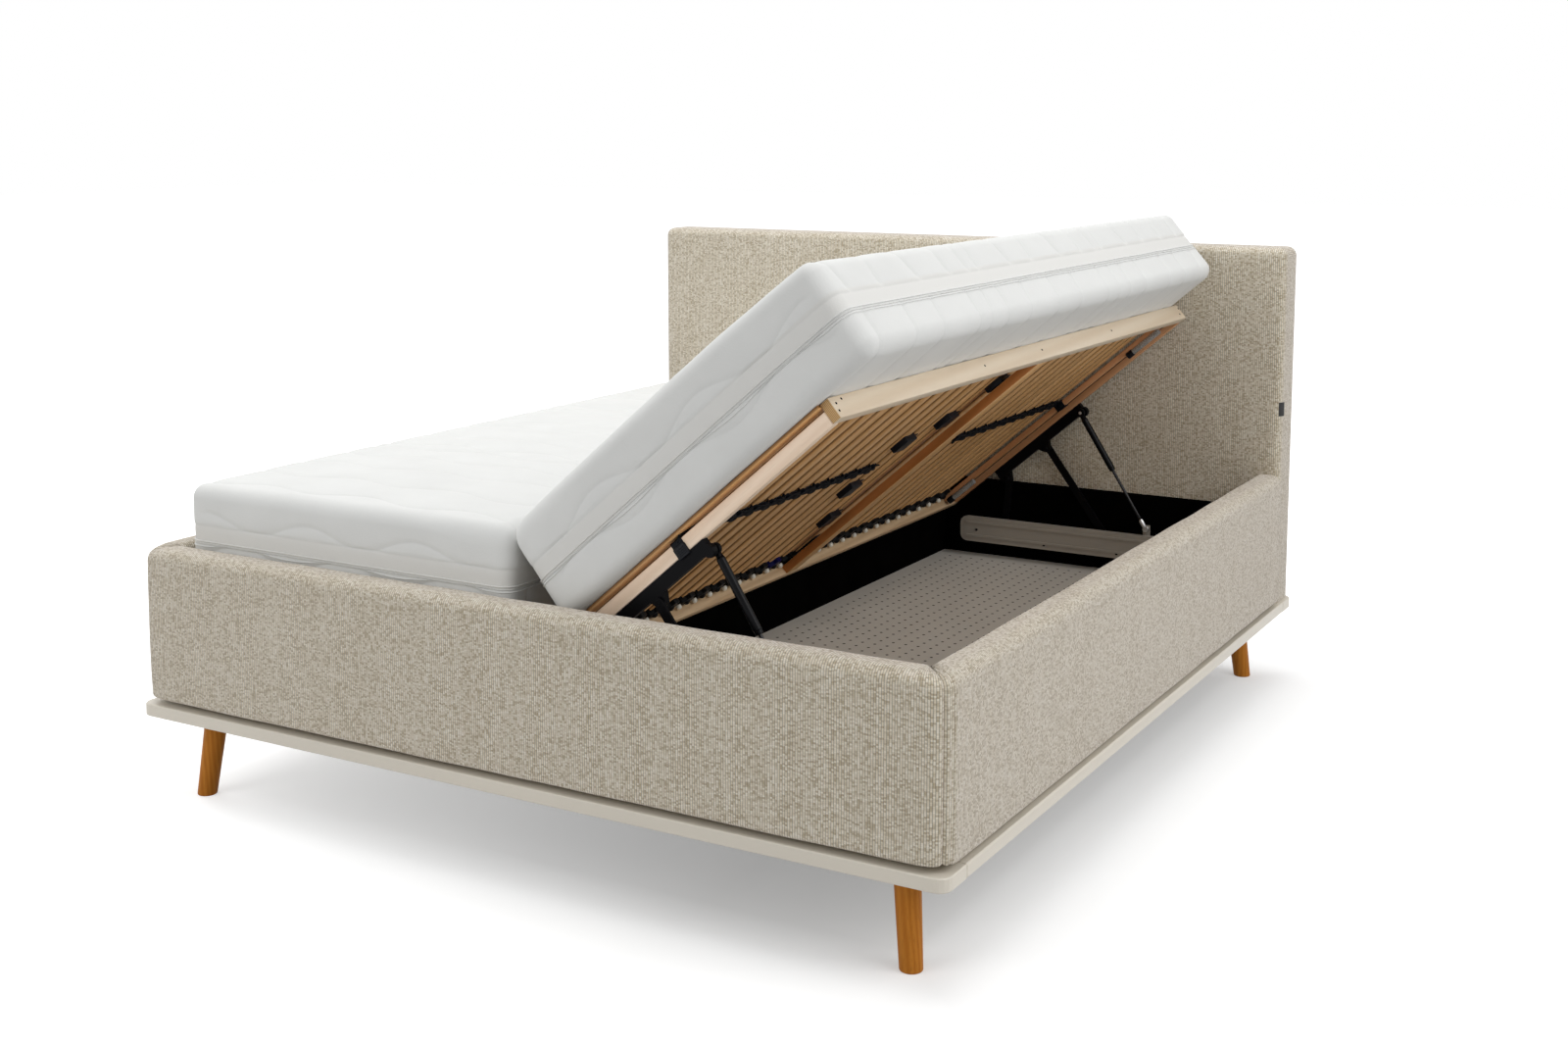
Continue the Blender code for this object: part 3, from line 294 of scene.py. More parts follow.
# %% Wood figure
def make_wood_group():
    """Growth bands that run along Z of the given place, and short dark pores."""
    tree, given, result = shader_group(
        "wood_figure", {"Place": None, "Bands": 30.0, "Waviness": 3.0, "Pores": 500.0},
        ["Band", "Pore"])
    flat = add(tree, "ShaderNodeMapping",
               {"Vector": given["Place"], "Scale": (1.0, 1.0, 0.05)}).outputs[0]
    wave = add(tree, "ShaderNodeTexWave",
               {"Vector": flat, "Scale": given["Bands"], "Distortion": given["Waviness"],
                "Detail": 3.0, "Detail Scale": 1.5}, wave_type="BANDS", bands_direction="DIAGONAL")
    streak = noise_texture(tree, flat, given["Bands"], 4.0)
    dots = noise_texture(tree, flat, given["Pores"], 1.0)
    fill(tree, result, {"Band": math_node(tree, "MULTIPLY_ADD", wave.outputs["Fac"], 0.5,
                                          math_node(tree, "MULTIPLY", streak, 0.5)),
                        "Pore": spread(tree, dots, 0.56, 0.70)})
    return tree


WOOD = make_wood_group()
print("Shader group:", WOOD.name)


# %% Mottle and edge wear
def make_mottle_group():
    """Cloudy variation and a fine surface grain."""
    tree, given, result = shader_group(
        "fine_mottle", {"Place": None, "Cloud": 6.0, "Grain": 900.0}, ["Cloud", "Grain"])
    fill(tree, result, {label: noise_texture(tree, given["Place"], given[label], detail)
                        for label, detail in (("Cloud", 4.0), ("Grain", 1.0))})
    return tree


def make_wear_group():
    """1 along worn convex edges, broken up by noise."""
    tree, given, result = shader_group("edge_wear", {"Place": None, "Width": 0.002}, ["Wear"])
    soft = add(tree, "ShaderNodeBevel", {"Radius": given["Width"]}, samples=4)
    normal = add(tree, "ShaderNodeNewGeometry").outputs["Normal"]
    likeness = add(tree, "ShaderNodeVectorMath", {0: soft.outputs[0], 1: normal},
                   operation="DOT_PRODUCT").outputs["Value"]
    edge = spread(tree, likeness, 0.99, 0.80)
    patchy = spread(tree, noise_texture(tree, given["Place"], 40.0, 4.0), 0.42, 0.62)
    fill(tree, result, {"Wear": math_node(tree, "MULTIPLY", edge, patchy)})
    return tree


MOTTLE, WEAR = make_mottle_group(), make_wear_group()
print("Shader groups:", MOTTLE.name, WEAR.name)

# %% [markdown]
# ## Finishes
# A pattern has to follow the piece it is on. The upholstery has a UV map in metres, with its ribs
# standing upright. Pieces of the lifting halves are drawn closed, and keep the place of each point
# from then in an attribute, so that grain runs straight along a rail that now stands at an angle.
# What stays a plain solid reads its object coordinates.

# %% Helpers for finishes
def start_finish(name):
    material = bpy.data.materials.new(name)
    material.use_nodes = True
    return material, material.node_tree, material.node_tree.nodes["Principled BSDF"]


def object_place(tree):
    return add(tree, "ShaderNodeTexCoord").outputs["Object"]


def drawn_place(tree):
    return add(tree, "ShaderNodeAttribute", attribute_name="drawn").outputs["Vector"]


def cloth_place(tree):
    return add(tree, "ShaderNodeUVMap", uv_map="cloth").outputs[0]


def ramp(tree, value, *stops):
    """A colour ramp through (position, colour) stops; returns the colour."""
    made = add(tree, "ShaderNodeValToRGB", {0: value})
    points = made.color_ramp.elements
    while len(points) < len(stops):
        points.new(0.5)
    for point, (position, colour) in zip(points, stops):
        point.position = position
        point.color = opaque(colour)
    return made.outputs[0]


def relief(tree, height, distance, strength):
    """A fine relief from a height; returns the normal."""
    return add(tree, "ShaderNodeBump", {"Height": height, "Distance": distance,
                                        "Strength": strength}).outputs[0]


def shade(colour, share):
    return tuple(value * share for value in colour)


# %% Upholstery cloth
CLOTH_DARK, CLOTH_MIDDLE, CLOTH_LIGHT = (0.47, 0.395, 0.27), (0.68, 0.61, 0.48), (0.79, 0.735, 0.62)
CLOTH_RIB, CLOTH_KNOT = 0.0051, 0.0034


def make_cloth():
    material, tree, shader = start_finish("greige_ribbed_cloth")
    weave = use_group(tree, WEAVE, {"Place": cloth_place(tree), "Rib": CLOTH_RIB,
                                    "Knot": CLOTH_KNOT})
    colour = ramp(tree, weave["Tone"], (0.10, CLOTH_DARK), (0.45, CLOTH_MIDDLE),
                  (0.60, CLOTH_MIDDLE), (0.92, CLOTH_LIGHT))
    # painted shade and highlight: the colour is darker in the hollows between ribs and knots and
    # lighter on their tops
    grey = grey_level(tree, spread(tree, weave["Height"], 0.05, 0.85, 0.42, 1.10))
    fill(tree, shader, {"Base Color": mix_colour(tree, 1.0, colour, grey, "MULTIPLY"),
                        "Roughness": 0.95, "Sheen Weight": 0.5, "Sheen Roughness": 0.5,
                        "Sheen Tint": opaque((0.98, 0.93, 1.0)),
                        "Normal": relief(tree, weave["Height"], 0.0016, 0.8)})
    return material


CLOTH = make_cloth()
print("Finish:", CLOTH.name)


# %% White mattress cover
# heights between which the plain band fades in and out again
TICKING_BAND = ((0.569, 0.573), (0.611, 0.607))


def make_ticking():
    material, tree, shader = start_finish("white_knit_cover")
    place = drawn_place(tree)
    knit = add(tree, "ShaderNodeTexVoronoi", {"Vector": place, "Scale": 420.0})
    soft = use_group(tree, MOTTLE, {"Place": place, "Cloud": 9.0, "Grain": 260.0})
    seam = add(tree, "ShaderNodeAttribute", attribute_name="seam").outputs["Fac"]
    colour = ramp(tree, soft["Cloud"], (0.3, (0.715, 0.72, 0.705)), (0.7, (0.745, 0.75, 0.735)))
    height = split(tree, place)[2]
    on_band = math_node(tree, "MULTIPLY", *(spread(tree, height, *span) for span in TICKING_BAND))
    colour = mix_colour(tree, on_band, colour, opaque((0.725, 0.72, 0.695)))
    # painted shade: the cover turns darker along its stitched quilting lines, seam and zip, as in
    # the creases there
    colour = mix_colour(tree, math_node(tree, "MULTIPLY", seam, 0.14), colour,
                        opaque((0.56, 0.565, 0.55)))
    height = math_node(tree, "MULTIPLY_ADD", knit.outputs["Distance"], 0.35, soft["Grain"])
    fill(tree, shader, {"Base Color": colour, "Roughness": 0.9, "Sheen Weight": 0.15,
                        "Normal": relief(tree, height, 0.0005, 0.5)})
    return material


TICKING = make_ticking()
print("Finish:", TICKING.name)


# %% Woods
def make_wood(name, light, dark, grain, bands, waviness, pore_share, roughness=0.5,
              place=drawn_place, tones=0.0, edge=None, gloss=0.4):
    """A wood whose grain runs along X, Y or Z of its place. Pieces may differ by their tones, and
    edge holds two heights between which the sides of a slat turn dark: painted shade between the
    slats."""
    material, tree, shader = start_finish(name)
    turn = {"X": (0, math.pi / 2, 0), "Y": (math.pi / 2, 0, 0), "Z": (0, 0, 0)}[grain]
    upright = add(tree, "ShaderNodeMapping", {"Vector": place(tree), "Rotation": turn}).outputs[0]
    if tones:
        tone = add(tree, "ShaderNodeAttribute", attribute_name="tone").outputs["Fac"]
        jump = add(tree, "ShaderNodeCombineXYZ", {0: math_node(tree, "MULTIPLY", tone, 3.0),
                                                  1: math_node(tree, "MULTIPLY", tone, 5.0)})
        upright = add(tree, "ShaderNodeVectorMath", {0: upright, 1: jump.outputs[0]}).outputs[0]
    figure = use_group(tree, WOOD, {"Place": upright, "Bands": bands, "Waviness": waviness})
    colour = ramp(tree, figure["Band"], (0.25, light), (0.75, dark))
    pores = math_node(tree, "MULTIPLY", figure["Pore"], pore_share)
    colour = mix_colour(tree, pores, colour, opaque(shade(dark, 0.5)))
    if tones:
        grey = grey_level(tree, spread(tree, tone, 0.0, 1.0, 1.0 - tones, 1.0 + tones))
        colour = mix_colour(tree, 1.0, colour, grey, "MULTIPLY")
    # painted shade: from just above their bottom face the slats' sides turn dark brown, as the gaps
    # between slats lie in shade
    if edge:
        sawn = spread(tree, split(tree, place(tree))[2], *edge, 0.0, 0.85)
        colour = mix_colour(tree, sawn, colour, opaque((0.23, 0.105, 0.034)))
    rough = spread(tree, figure["Band"], 0.0, 1.0, roughness - 0.08, roughness + 0.08)
    fill(tree, shader, {"Base Color": colour, "Roughness": rough, "Specular IOR Level": gloss,
                        "Normal": relief(tree, figure["Pore"], -0.0003, 0.5)})
    return material


# name, light tone, dark tone, direction of the grain, bands per metre, waviness, share of pores
OAK = make_wood("oiled_leg_wood", (0.52, 0.195, 0.025), (0.44, 0.150, 0.016), "Z", 45.0, 3.0, 0.25,
                place=object_place, gloss=0.12)
BIRCH = make_wood("pale_birch_rail", (0.76, 0.64, 0.49), (0.70, 0.57, 0.42), "Y", 16.0, 1.5, 0.05,
                  0.45)
BEECH_BAR = make_wood("beech_cross_bar", (0.96, 0.77, 0.60), (0.89, 0.69, 0.52), "X", 20.0, 1.5,
                      0.08)
# a darker orange beech for the centre bar's faces that look along the bed: painted shade on those
# sides
SHADED_CENTRE_BEECH = make_wood("orange_centre_bar", (0.58, 0.235, 0.075), (0.46, 0.17, 0.045), "X", 16.0,
                      2.0, 0.08, gloss=0.15)
# a darker copy of the cross bar beech for the head bars: painted shade, as they lie in shade
SHADED_HEAD_BEECH = make_wood("reddish_head_bar", (0.66, 0.35, 0.18), (0.55, 0.27, 0.12), "X", 16.0, 2.0,
                       0.08, gloss=0.2)
# the slats' sides carry painted shade between the heights given as edge
SLAT_WOOD = make_wood("sprung_slat_wood", (0.88, 0.53, 0.25), (0.78, 0.44, 0.18), "X", 12.0, 1.5,
                      0.04, 0.45, tones=0.10, edge=(0.4712, 0.4745), gloss=0.2)
INNER_BIRCH = make_wood("inner_rail_wood", (0.72, 0.53, 0.33), (0.58, 0.40, 0.23), "Y", 28.0, 2.0,
                        0.2)


PLIES_A_METRE = 320.0
PLY_TONES = (((0.70, 0.47, 0.22), (0.55, 0.34, 0.14)), ((0.34, 0.18, 0.07), (0.42, 0.24, 0.10)))


def make_plies():
    """Sawn end of a laminated rail: thin layers that alternate in tone."""
    material, tree, shader = start_finish("laminated_rail_end")
    place = drawn_place(tree)
    layer = math_node(tree, "MULTIPLY", split(tree, place)[0], PLIES_A_METRE)
    layer = spread(tree, math_node(tree, "FRACT", layer), 0.45, 0.60)
    soft = use_group(tree, MOTTLE, {"Place": place, "Cloud": 60.0, "Grain": 500.0})
    light, dark = (mix_colour(tree, soft["Cloud"], opaque(first), opaque(second))
                   for first, second in PLY_TONES)
    fill(tree, shader, {"Base Color": mix_colour(tree, layer, light, dark), "Roughness": 0.75,
                        "Normal": relief(tree, soft["Grain"], 0.0004, 0.5)})
    return material


PLIES = make_plies()
print("Woods:", *(wood.name for wood in (OAK, BIRCH, BEECH_BAR, SHADED_HEAD_BEECH, SLAT_WOOD, PLIES)))


# %% Paint, board, plastic and metal
ROUGH_SPREAD = 0.06


def make_smooth(name, colour, roughness, place=object_place, cloud=6.0, tint=0.06, grain=900.0,
                depth=0.0001, wear=None, gloss=0.5, metallic=0.0):
    """A smooth finish with a faint cloudiness, a fine grain and, if asked, worn edges."""
    material, tree, shader = start_finish(name)
    where = place(tree)
    soft = use_group(tree, MOTTLE, {"Place": where, "Cloud": cloud, "Grain": grain})
    base = ramp(tree, soft["Cloud"], *((place, shade(colour, 1.0 + change))
                                       for place, change in ((0.3, -tint), (0.7, tint))))
    if wear:
        worn = use_group(tree, WEAR, {"Place": where})
        base = mix_colour(tree, math_node(tree, "MULTIPLY", worn[0], 0.6), base, opaque(wear))
    rough = spread(tree, soft["Cloud"], 0.3, 0.7, roughness - ROUGH_SPREAD,
                   roughness + ROUGH_SPREAD)
    fill(tree, shader, {"Base Color": base, "Roughness": rough, "Metallic": metallic,
                        "Specular IOR Level": gloss,
                        "Normal": relief(tree, soft["Grain"], depth, 0.6)})
    return material


LACQUER = make_smooth("cream_lacquer", (0.70, 0.65, 0.56), 0.42, cloud=3.0, tint=0.02,
                      depth=0.00008, wear=(0.76, 0.72, 0.65))
BLACK_BOARD = make_smooth("black_foil_board", (0.0018, 0.0017, 0.0016), 0.75, cloud=14.0, tint=0.25,
                          grain=600.0, depth=0.0002, gloss=0.0)
FLOOR_BOARD = make_smooth("grey_floor_board", (0.64, 0.62, 0.57), 0.62, cloud=5.0, tint=0.03,
                          grain=700.0, depth=0.0002)
HOLE = make_smooth("hole_shade", (0.012, 0.011, 0.010), 0.9, cloud=200.0, tint=0.2, gloss=0.1)
RUBBER = make_smooth("black_slat_rubber", (0.0035, 0.0038, 0.0045), 0.45, drawn_place, 30.0, 0.2,
                     gloss=0.12)
BLUE_PLASTIC = make_smooth("dark_blue_plastic", (0.003, 0.003, 0.055), 0.4, drawn_place, 30.0, 0.15,
                           gloss=0.1)
WHITE_PLUG = make_smooth("pale_plug_plastic", (0.80, 0.78, 0.70), 0.4, drawn_place, 80.0)
BLACK_PLASTIC = make_smooth("grey_black_plastic", (0.006, 0.007, 0.010), 0.45, drawn_place, 30.0,
                            0.15, gloss=0.15)
STRAP = make_smooth("black_braid", (0.0045, 0.0055, 0.008), 0.6, drawn_place, 60.0, 0.3, 500.0,
                    0.0010, gloss=0.1)
BLACK_STEEL = make_smooth("black_coated_steel", (0.0025, 0.0025, 0.0032), 0.45, cloud=20.0,
                          tint=0.2, depth=0.00015, wear=(0.010, 0.010, 0.012), gloss=0.06)
TUBE_STEEL = make_smooth("glossy_black_tube", (0.0025, 0.0025, 0.0034), 0.26, cloud=20.0, tint=0.2,
                         depth=0.00002, gloss=0.10)
ROD_STEEL = make_smooth("dark_rod_steel", (0.005, 0.005, 0.006), 0.25, cloud=40.0, tint=0.05,
                        depth=0.00002, gloss=0.3)
ZINC = make_smooth("zinc_screw", (0.60, 0.60, 0.60), 0.35, metallic=1.0, cloud=90.0, tint=0.15)
GUIDE_PAINT = make_smooth("cream_guide_paint", (0.39, 0.36, 0.315), 0.38, cloud=8.0, tint=0.03,
                          wear=(0.56, 0.53, 0.48))
ZIP_TAPE = make_smooth("grey_zip_tape", (0.67, 0.67, 0.65), 0.8, drawn_place, 60.0, grain=600.0,
                       depth=0.0004)
LABEL = make_smooth("black_label", (0.010, 0.010, 0.010), 0.7, cloud=120.0, tint=0.3, grain=1500.0,
                    depth=0.0003)


def make_clear_tube():
    """Slightly grey, see-through plastic."""
    material, tree, shader = start_finish("clear_grey_plastic")
    soft = use_group(tree, MOTTLE, {"Place": drawn_place(tree), "Cloud": 40.0, "Grain": 600.0})
    colour = ramp(tree, soft["Cloud"], (0.3, (0.40, 0.42, 0.42)), (0.7, (0.55, 0.56, 0.56)))
    fill(tree, shader, {"Base Color": colour, "Transmission Weight": 0.45, "IOR": 1.45,
                        "Roughness": spread(tree, soft["Grain"], 0.3, 0.7, 0.22, 0.32)})
    return material


CLEAR_TUBE = make_clear_tube()
print("Finishes in all:", len(bpy.data.materials))

# %% [markdown]
# ## Where the pieces go
# The two halves of the bed mirror each other, and one of them stands open. Every moving piece is
# therefore drawn once, closed and on the right. Settling it then either mirrors it to the left or
# turns it about the lift's axis, exactly as the joints of the frame say.

# %% Settling pieces
SIDES = ("right", "left")
joints = {joint["name"]: joint for joint in frame["joints"]}
LIFT_AXIS = Vector(joints["right_lift_turn"]["pos_m"])
LIFT_ANGLE = math.radians(joints["right_lift_turn"]["range_deg"][1])
frame_slide = joints["right_frame_slide"]
FRAME_SHIFT = Vector(frame_slide["axis"]) * frame_slide["range_m"][1]
RAISED = (Matrix.Translation(LIFT_AXIS) @ Matrix.Rotation(-LIFT_ANGLE, 4, "Y")
          @ Matrix.Translation(-LIFT_AXIS))
MIRRORED = Matrix.Scale(-1, 4, (1, 0, 0))


def stand(name, mesh, material, body="base"):
    """Make an object of a mesh, give it a finish if it has none, and let it ride on a body."""
    piece = bpy.data.objects.new(name, mesh)
    scene.collection.objects.link(piece)
    if not mesh.materials:
        mesh.materials.append(material)
    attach(piece, body)
    return piece


def keep_drawn_place(mesh):
    places = np.empty(len(mesh.vertices) * 3, np.float32)
    mesh.vertices.foreach_get("co", places)
    mesh.attributes.new("drawn", "FLOAT_VECTOR", "POINT").data.foreach_set("vector", places)


def settle(name, mesh, material, side, carried):
    """Put a mesh that is drawn closed on the right onto its side and its body."""
    keep_drawn_place(mesh)
    if side == "left":
        mesh.transform(MIRRORED)
        mesh.flip_normals()
    else:
        mesh.transform(RAISED)
        if carried == "slat_frame":
            mesh.transform(Matrix.Translation(-FRAME_SHIFT))
    return stand(f"{side}_{name}", mesh, material, f"{side}_{carried}")


def closed_box(name):
    """Corners of a solid of the closed left half, mirrored to the right."""
    low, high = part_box(f"left_{name}")
    return Vector((-high.x, low.y, low.z)), Vector((-low.x, high.y, high.z))


print("Lift axis:", tuple(round(value, 3) for value in LIFT_AXIS),
      "angle:", round(math.degrees(LIFT_ANGLE), 1))

# %% [markdown]
# ## Shapes that several pieces need
# Turned pieces come from a profile spun about an axis. Sawn pieces are boxes whose edges are
# broken. A surface that is laid out on a regular grid of points gets its faces in one step.

# %% Turned and sawn shapes
def soften(mesh, angle):
    """Shade a mesh smoothly, except over edges that are sharper than an angle in degrees."""
    mesh.polygons.foreach_set("use_smooth", [True] * len(mesh.polygons))
    mesh.set_sharp_from_angle(angle=math.radians(angle))
    return mesh


def new_mesh(name, points, faces):
    mesh = bpy.data.meshes.new(name)
    mesh.from_pydata([tuple(point) for point in points], [], faces)
    mesh.polygons.foreach_set("use_smooth", [True] * len(mesh.polygons))
    mesh.update()
    return mesh


def face_outwards(mesh, weld=0.0):
    """Turn all faces outwards, after joining points that lie closer than a weld distance."""
    edit = bmesh.new()
    edit.from_mesh(mesh)
    if weld:
        bmesh.ops.remove_doubles(edit, verts=edit.verts, dist=weld)
    bmesh.ops.recalc_face_normals(edit, faces=edit.faces)
    edit.to_mesh(mesh)
    edit.free()


def quarter(steps):
    """Angles that divide a quarter turn."""
    return np.linspace(0, math.pi / 2, steps)


def lathe(name, profile, steps=48):
    """Spin (radius, height) points about Z. The profile starts and ends on the axis."""
    rings, faces = profile[1:-1], []
    turns = [2 * math.pi * step / steps for step in range(steps)]
    points = [(0, 0, profile[0][1])]
    points += [(radius * math.cos(turn), radius * math.sin(turn), height)
               for radius, height in rings for turn in turns]
    points.append((0, 0, profile[-1][1]))
    last = len(points) - 1
    for step in range(steps):
        after = (step + 1) % steps
        faces.append((0, 1 + after, 1 + step))
        for ring in range(len(rings) - 1):
            low, high = 1 + ring * steps, 1 + (ring + 1) * steps
            faces.append((low + step, low + after, high + after, high + step))
        top = 1 + (len(rings) - 1) * steps
        faces.append((top + step, top + after, last))
    return new_mesh(name, points, faces)


def eased(corners, radius, steps=3):
    """Round the corners of a (radius, height) profile; the end points stay."""
    path = [corners[0]]
    for before, corner, after in zip(corners, corners[1:], corners[2:]):
        here, back, ahead = Vector(corner), Vector(before), Vector(after)
        reach = min(radius, (back - here).length * 0.45, (ahead - here).length * 0.45)
        start, end = (here + (other - here).normalized() * reach for other in (back, ahead))
        for step in range(steps + 1):
            share = step / steps
            path.append(tuple(start.lerp(here, share).lerp(here.lerp(end, share), share)))
    return path + [corners[-1]]


def plank(name, low, high, radius, segments=3):
    """A sawn board with its edges rounded over."""
    edit = bmesh.new()
    bmesh.ops.create_cube(edit, size=1)
    low, high = Vector(low), Vector(high)
    for vert in edit.verts:
        vert.co = Vector([low[axis] if vert.co[axis] < 0 else high[axis] for axis in range(3)])
    bmesh.ops.bevel(edit, geom=edit.edges[:], offset=radius, segments=segments, profile=0.5,
                    affect="EDGES")
    mesh = bpy.data.meshes.new(name)
    edit.to_mesh(mesh)
    edit.free()
    return soften(mesh, 50)


def joined(name, meshes):
    """One mesh out of several, each keeping its own first material."""
    edit, materials = bmesh.new(), []
    for mesh in meshes:
        count = len(edit.faces)
        edit.from_mesh(mesh)
        edit.faces.ensure_lookup_table()
        finish = mesh.materials[0] if mesh.materials else None
        if finish not in materials:
            materials.append(finish)
        for face in edit.faces[count:]:
            face.material_index = materials.index(finish)
    result = bpy.data.meshes.new(name)
    edit.to_mesh(result)
    edit.free()
    for finish in materials:
        if finish:
            result.materials.append(finish)
    return result


def along(direction, place):
    """Matrix that lays the Z axis of a shape along a direction, at a place."""
    turn = Vector(direction).to_track_quat("Z", "Y").to_matrix().to_4x4()
    return Matrix.Translation(place) @ turn


print("Shape helpers ready")

# %% [markdown]
# ## Geometry Nodes for what repeats
# Screws, caps, slats, holes and straps repeat or follow a path, so each comes from a small
# Geometry Nodes tree. Points are made first, and a shape is then placed on each of them. The
# result is turned into a plain mesh, because a finished piece should not carry live modifiers.

# %% Helpers for Geometry Nodes
def growing_tree(name, inputs):
    """Start a Geometry Nodes tree with named inputs; returns tree, inputs and output node."""
    tree = bpy.data.node_groups.new(name, "GeometryNodeTree")
    for way in ("INPUT", "OUTPUT"):
        tree.interface.new_socket("Geometry", in_out=way, socket_type="NodeSocketGeometry")
    for label, kind in inputs.items():
        tree.interface.new_socket(label, in_out="INPUT", socket_type=f"NodeSocket{kind}")
    return tree, add(tree, "NodeGroupInput").outputs, add(tree, "NodeGroupOutput")


def paint_and_end(tree, given, result, geometry):
    """Make instances real, give the result the material of the inputs, and put it out."""
    solid = add(tree, "GeometryNodeRealizeInstances", {0: geometry})
    painted = add(tree, "GeometryNodeSetMaterial",
                  {0: solid.outputs[0], "Material": given["Material"]})
    fill(tree, result, {0: painted.outputs[0]})
    return tree


def grow(tree, name, values, base=None):
    """Run a tree on a base mesh and return the result as a plain mesh."""
    carrier = bpy.data.objects.new(name, base or bpy.data.meshes.new(name))
    scene.collection.objects.link(carrier)
    modifier = carrier.modifiers.new("grow", "NODES")
    modifier.node_group = tree
    sockets = {item.name: item.identifier for item in tree.interface.items_tree
               if item.in_out == "INPUT"}
    for label, value in values.items():
        modifier[sockets[label]] = value
    bpy.context.view_layer.update()
    seen = carrier.evaluated_get(bpy.context.evaluated_depsgraph_get())
    mesh = bpy.data.meshes.new_from_object(seen)
    mesh.name = name
    bpy.data.objects.remove(carrier)
    return mesh


def points_mesh(places, facings, heading):
    """Bare points, each with the direction in which its shape looks and that of its X axis."""
    mesh = bpy.data.meshes.new("points")
    mesh.from_pydata([tuple(place) for place in places], [], [])
    for label, directions in (("facing", facings), ("heading", [heading] * len(places))):
        layer = mesh.attributes.new(label, "FLOAT_VECTOR", "POINT")
        for item, direction in zip(layer.data, directions):
            item.vector = direction
    return mesh


# %% A tree that sets a shape on points
def make_setting_tree():
    tree, given, result = growing_tree("set_on_points", {"Shape": "Object", "Turn": "Float",
                                                         "Seed": "Int"})
    shape = add(tree, "GeometryNodeObjectInfo", {"Object": given["Shape"]})
    facing, heading = (add(tree, "GeometryNodeInputNamedAttribute", {"Name": label},
                           data_type="FLOAT_VECTOR").outputs[0] for label in ("facing", "heading"))
    upright = add(tree, "FunctionNodeAlignRotationToVector", {"Vector": facing}, axis="Z")
    aimed = add(tree, "FunctionNodeAlignRotationToVector",
                {"Rotation": upright.outputs[0], "Vector": heading}, axis="X", pivot_axis="Z")
    angle = add(tree, "FunctionNodeRandomValue",
                {2: math_node(tree, "MULTIPLY", given["Turn"], -1.0), 3: given["Turn"],
                 "Seed": given["Seed"]}, data_type="FLOAT")
    twist = add(tree, "FunctionNodeAxisAngleToRotation",
                {"Axis": (0, 0, 1), "Angle": angle.outputs[1]})
    turned = add(tree, "FunctionNodeRotateRotation", {0: aimed.outputs[0], 1: twist.outputs[0]},
                 rotation_space="LOCAL")
    placed = add(tree, "GeometryNodeInstanceOnPoints",
                 {"Points": given["Geometry"], "Instance": shape.outputs["Geometry"],
                  "Rotation": turned.outputs[0]})
    solid = add(tree, "GeometryNodeRealizeInstances", {0: placed.outputs[0]})
    fill(tree, result, {0: solid.outputs[0]})
    return tree


SET_ON_POINTS = make_setting_tree()


def set_on_points(name, shape_mesh, material, places, facings, heading=(0, 1, 0), turn=0.0,
                  seed=1):
    """Repeat a shape on points, turned at random up to an angle, and return one plain mesh."""
    shape_mesh.materials.append(material)
    shape = bpy.data.objects.new(shape_mesh.name, shape_mesh)
    scene.collection.objects.link(shape)
    mesh = grow(SET_ON_POINTS, name, {"Shape": shape, "Turn": turn, "Seed": seed},
                points_mesh(places, facings, heading))
    bpy.data.objects.remove(shape)
    return mesh


print("Tree ready:", SET_ON_POINTS.name)

# %% [markdown]
# ## Upholstered rails
# The bed's sides and foot are boards padded with foam and covered in a ribbed cloth. Their top
# edge is softly rounded and their corners meet in a mitred seam. Each rail is drawn as a cross
# section that travels along the rail, and in the corner the section fans out round the rounding
# up to the mitre. The cloth's UV map counts metres along the rail and round the section, so the
# ribs stand upright on the faces and run over the top.

# %% Cross section of a rail
# radii of the upper outer edge, the upper inner edge, the lower edges and the bed's corners
RAIL_EDGE, INNER_EDGE, RAIL_HEM, RAIL_CORNER = 0.027, 0.017, 0.007, 0.042
SEAM_DEPTH, SEAM_REACH = 0.0046, 0.0045
FOAM_SWELL = 0.0014
# near a mitre the top sags, the foot lifts and the face draws in, over a reach along the rail
CORNER_SAG, CORNER_LIFT, CORNER_DRAW, CORNER_REACH = 0.0045, 0.001, 0.0022, 0.034
CORNER_STATIONS = np.linspace(0, 1, 15)
OPEN_END_STATIONS = np.array([14, 11, 8.5, 6.5, 4.5, 3, 1.5, 0.5, 0]) * 0.001


def rail_section(thick, low, high):
    """(depth from the outer face, height) points, from the outer hem over the top to the inner."""
    def flank(edge):
        points = [(RAIL_HEM * (1 - math.sin(turn)), low + RAIL_HEM * (1 - math.cos(turn)))
                  for turn in quarter(4)]
        points += [(0.0, z) for z in np.linspace(low + RAIL_HEM, high - edge, 26)[1:-1]]
        return points + [(edge * (1 - math.cos(turn)), high - edge * (1 - math.sin(turn)))
                         for turn in quarter(9)]

    middle = [(d, high) for d in np.linspace(RAIL_EDGE, thick - INNER_EDGE, 4)[1:-1]]
    return flank(RAIL_EDGE) + middle + [(thick - d, z) for d, z in reversed(flank(INNER_EDGE))]


def travelled(path):
    """Length along a path up to each of its points."""
    return np.concatenate([[0], np.cumsum([math.dist(a, b) for a, b in zip(path, path[1:])])])


def clothed(name, points, faces, uvs):
    """A closed mesh with faces outwards and a UV map called cloth, a (u, v) for each corner."""
    mesh = new_mesh(name, points, faces)
    mesh.uv_layers.new(name="cloth").data.foreach_set("uv", np.asarray(uvs, np.float32).ravel())
    face_outwards(mesh)
    return mesh


def swell(point, strength, scale=7.0):
    """How far the padding stands proud at a place."""
    return strength * noise.noise(Vector(point) * scale)


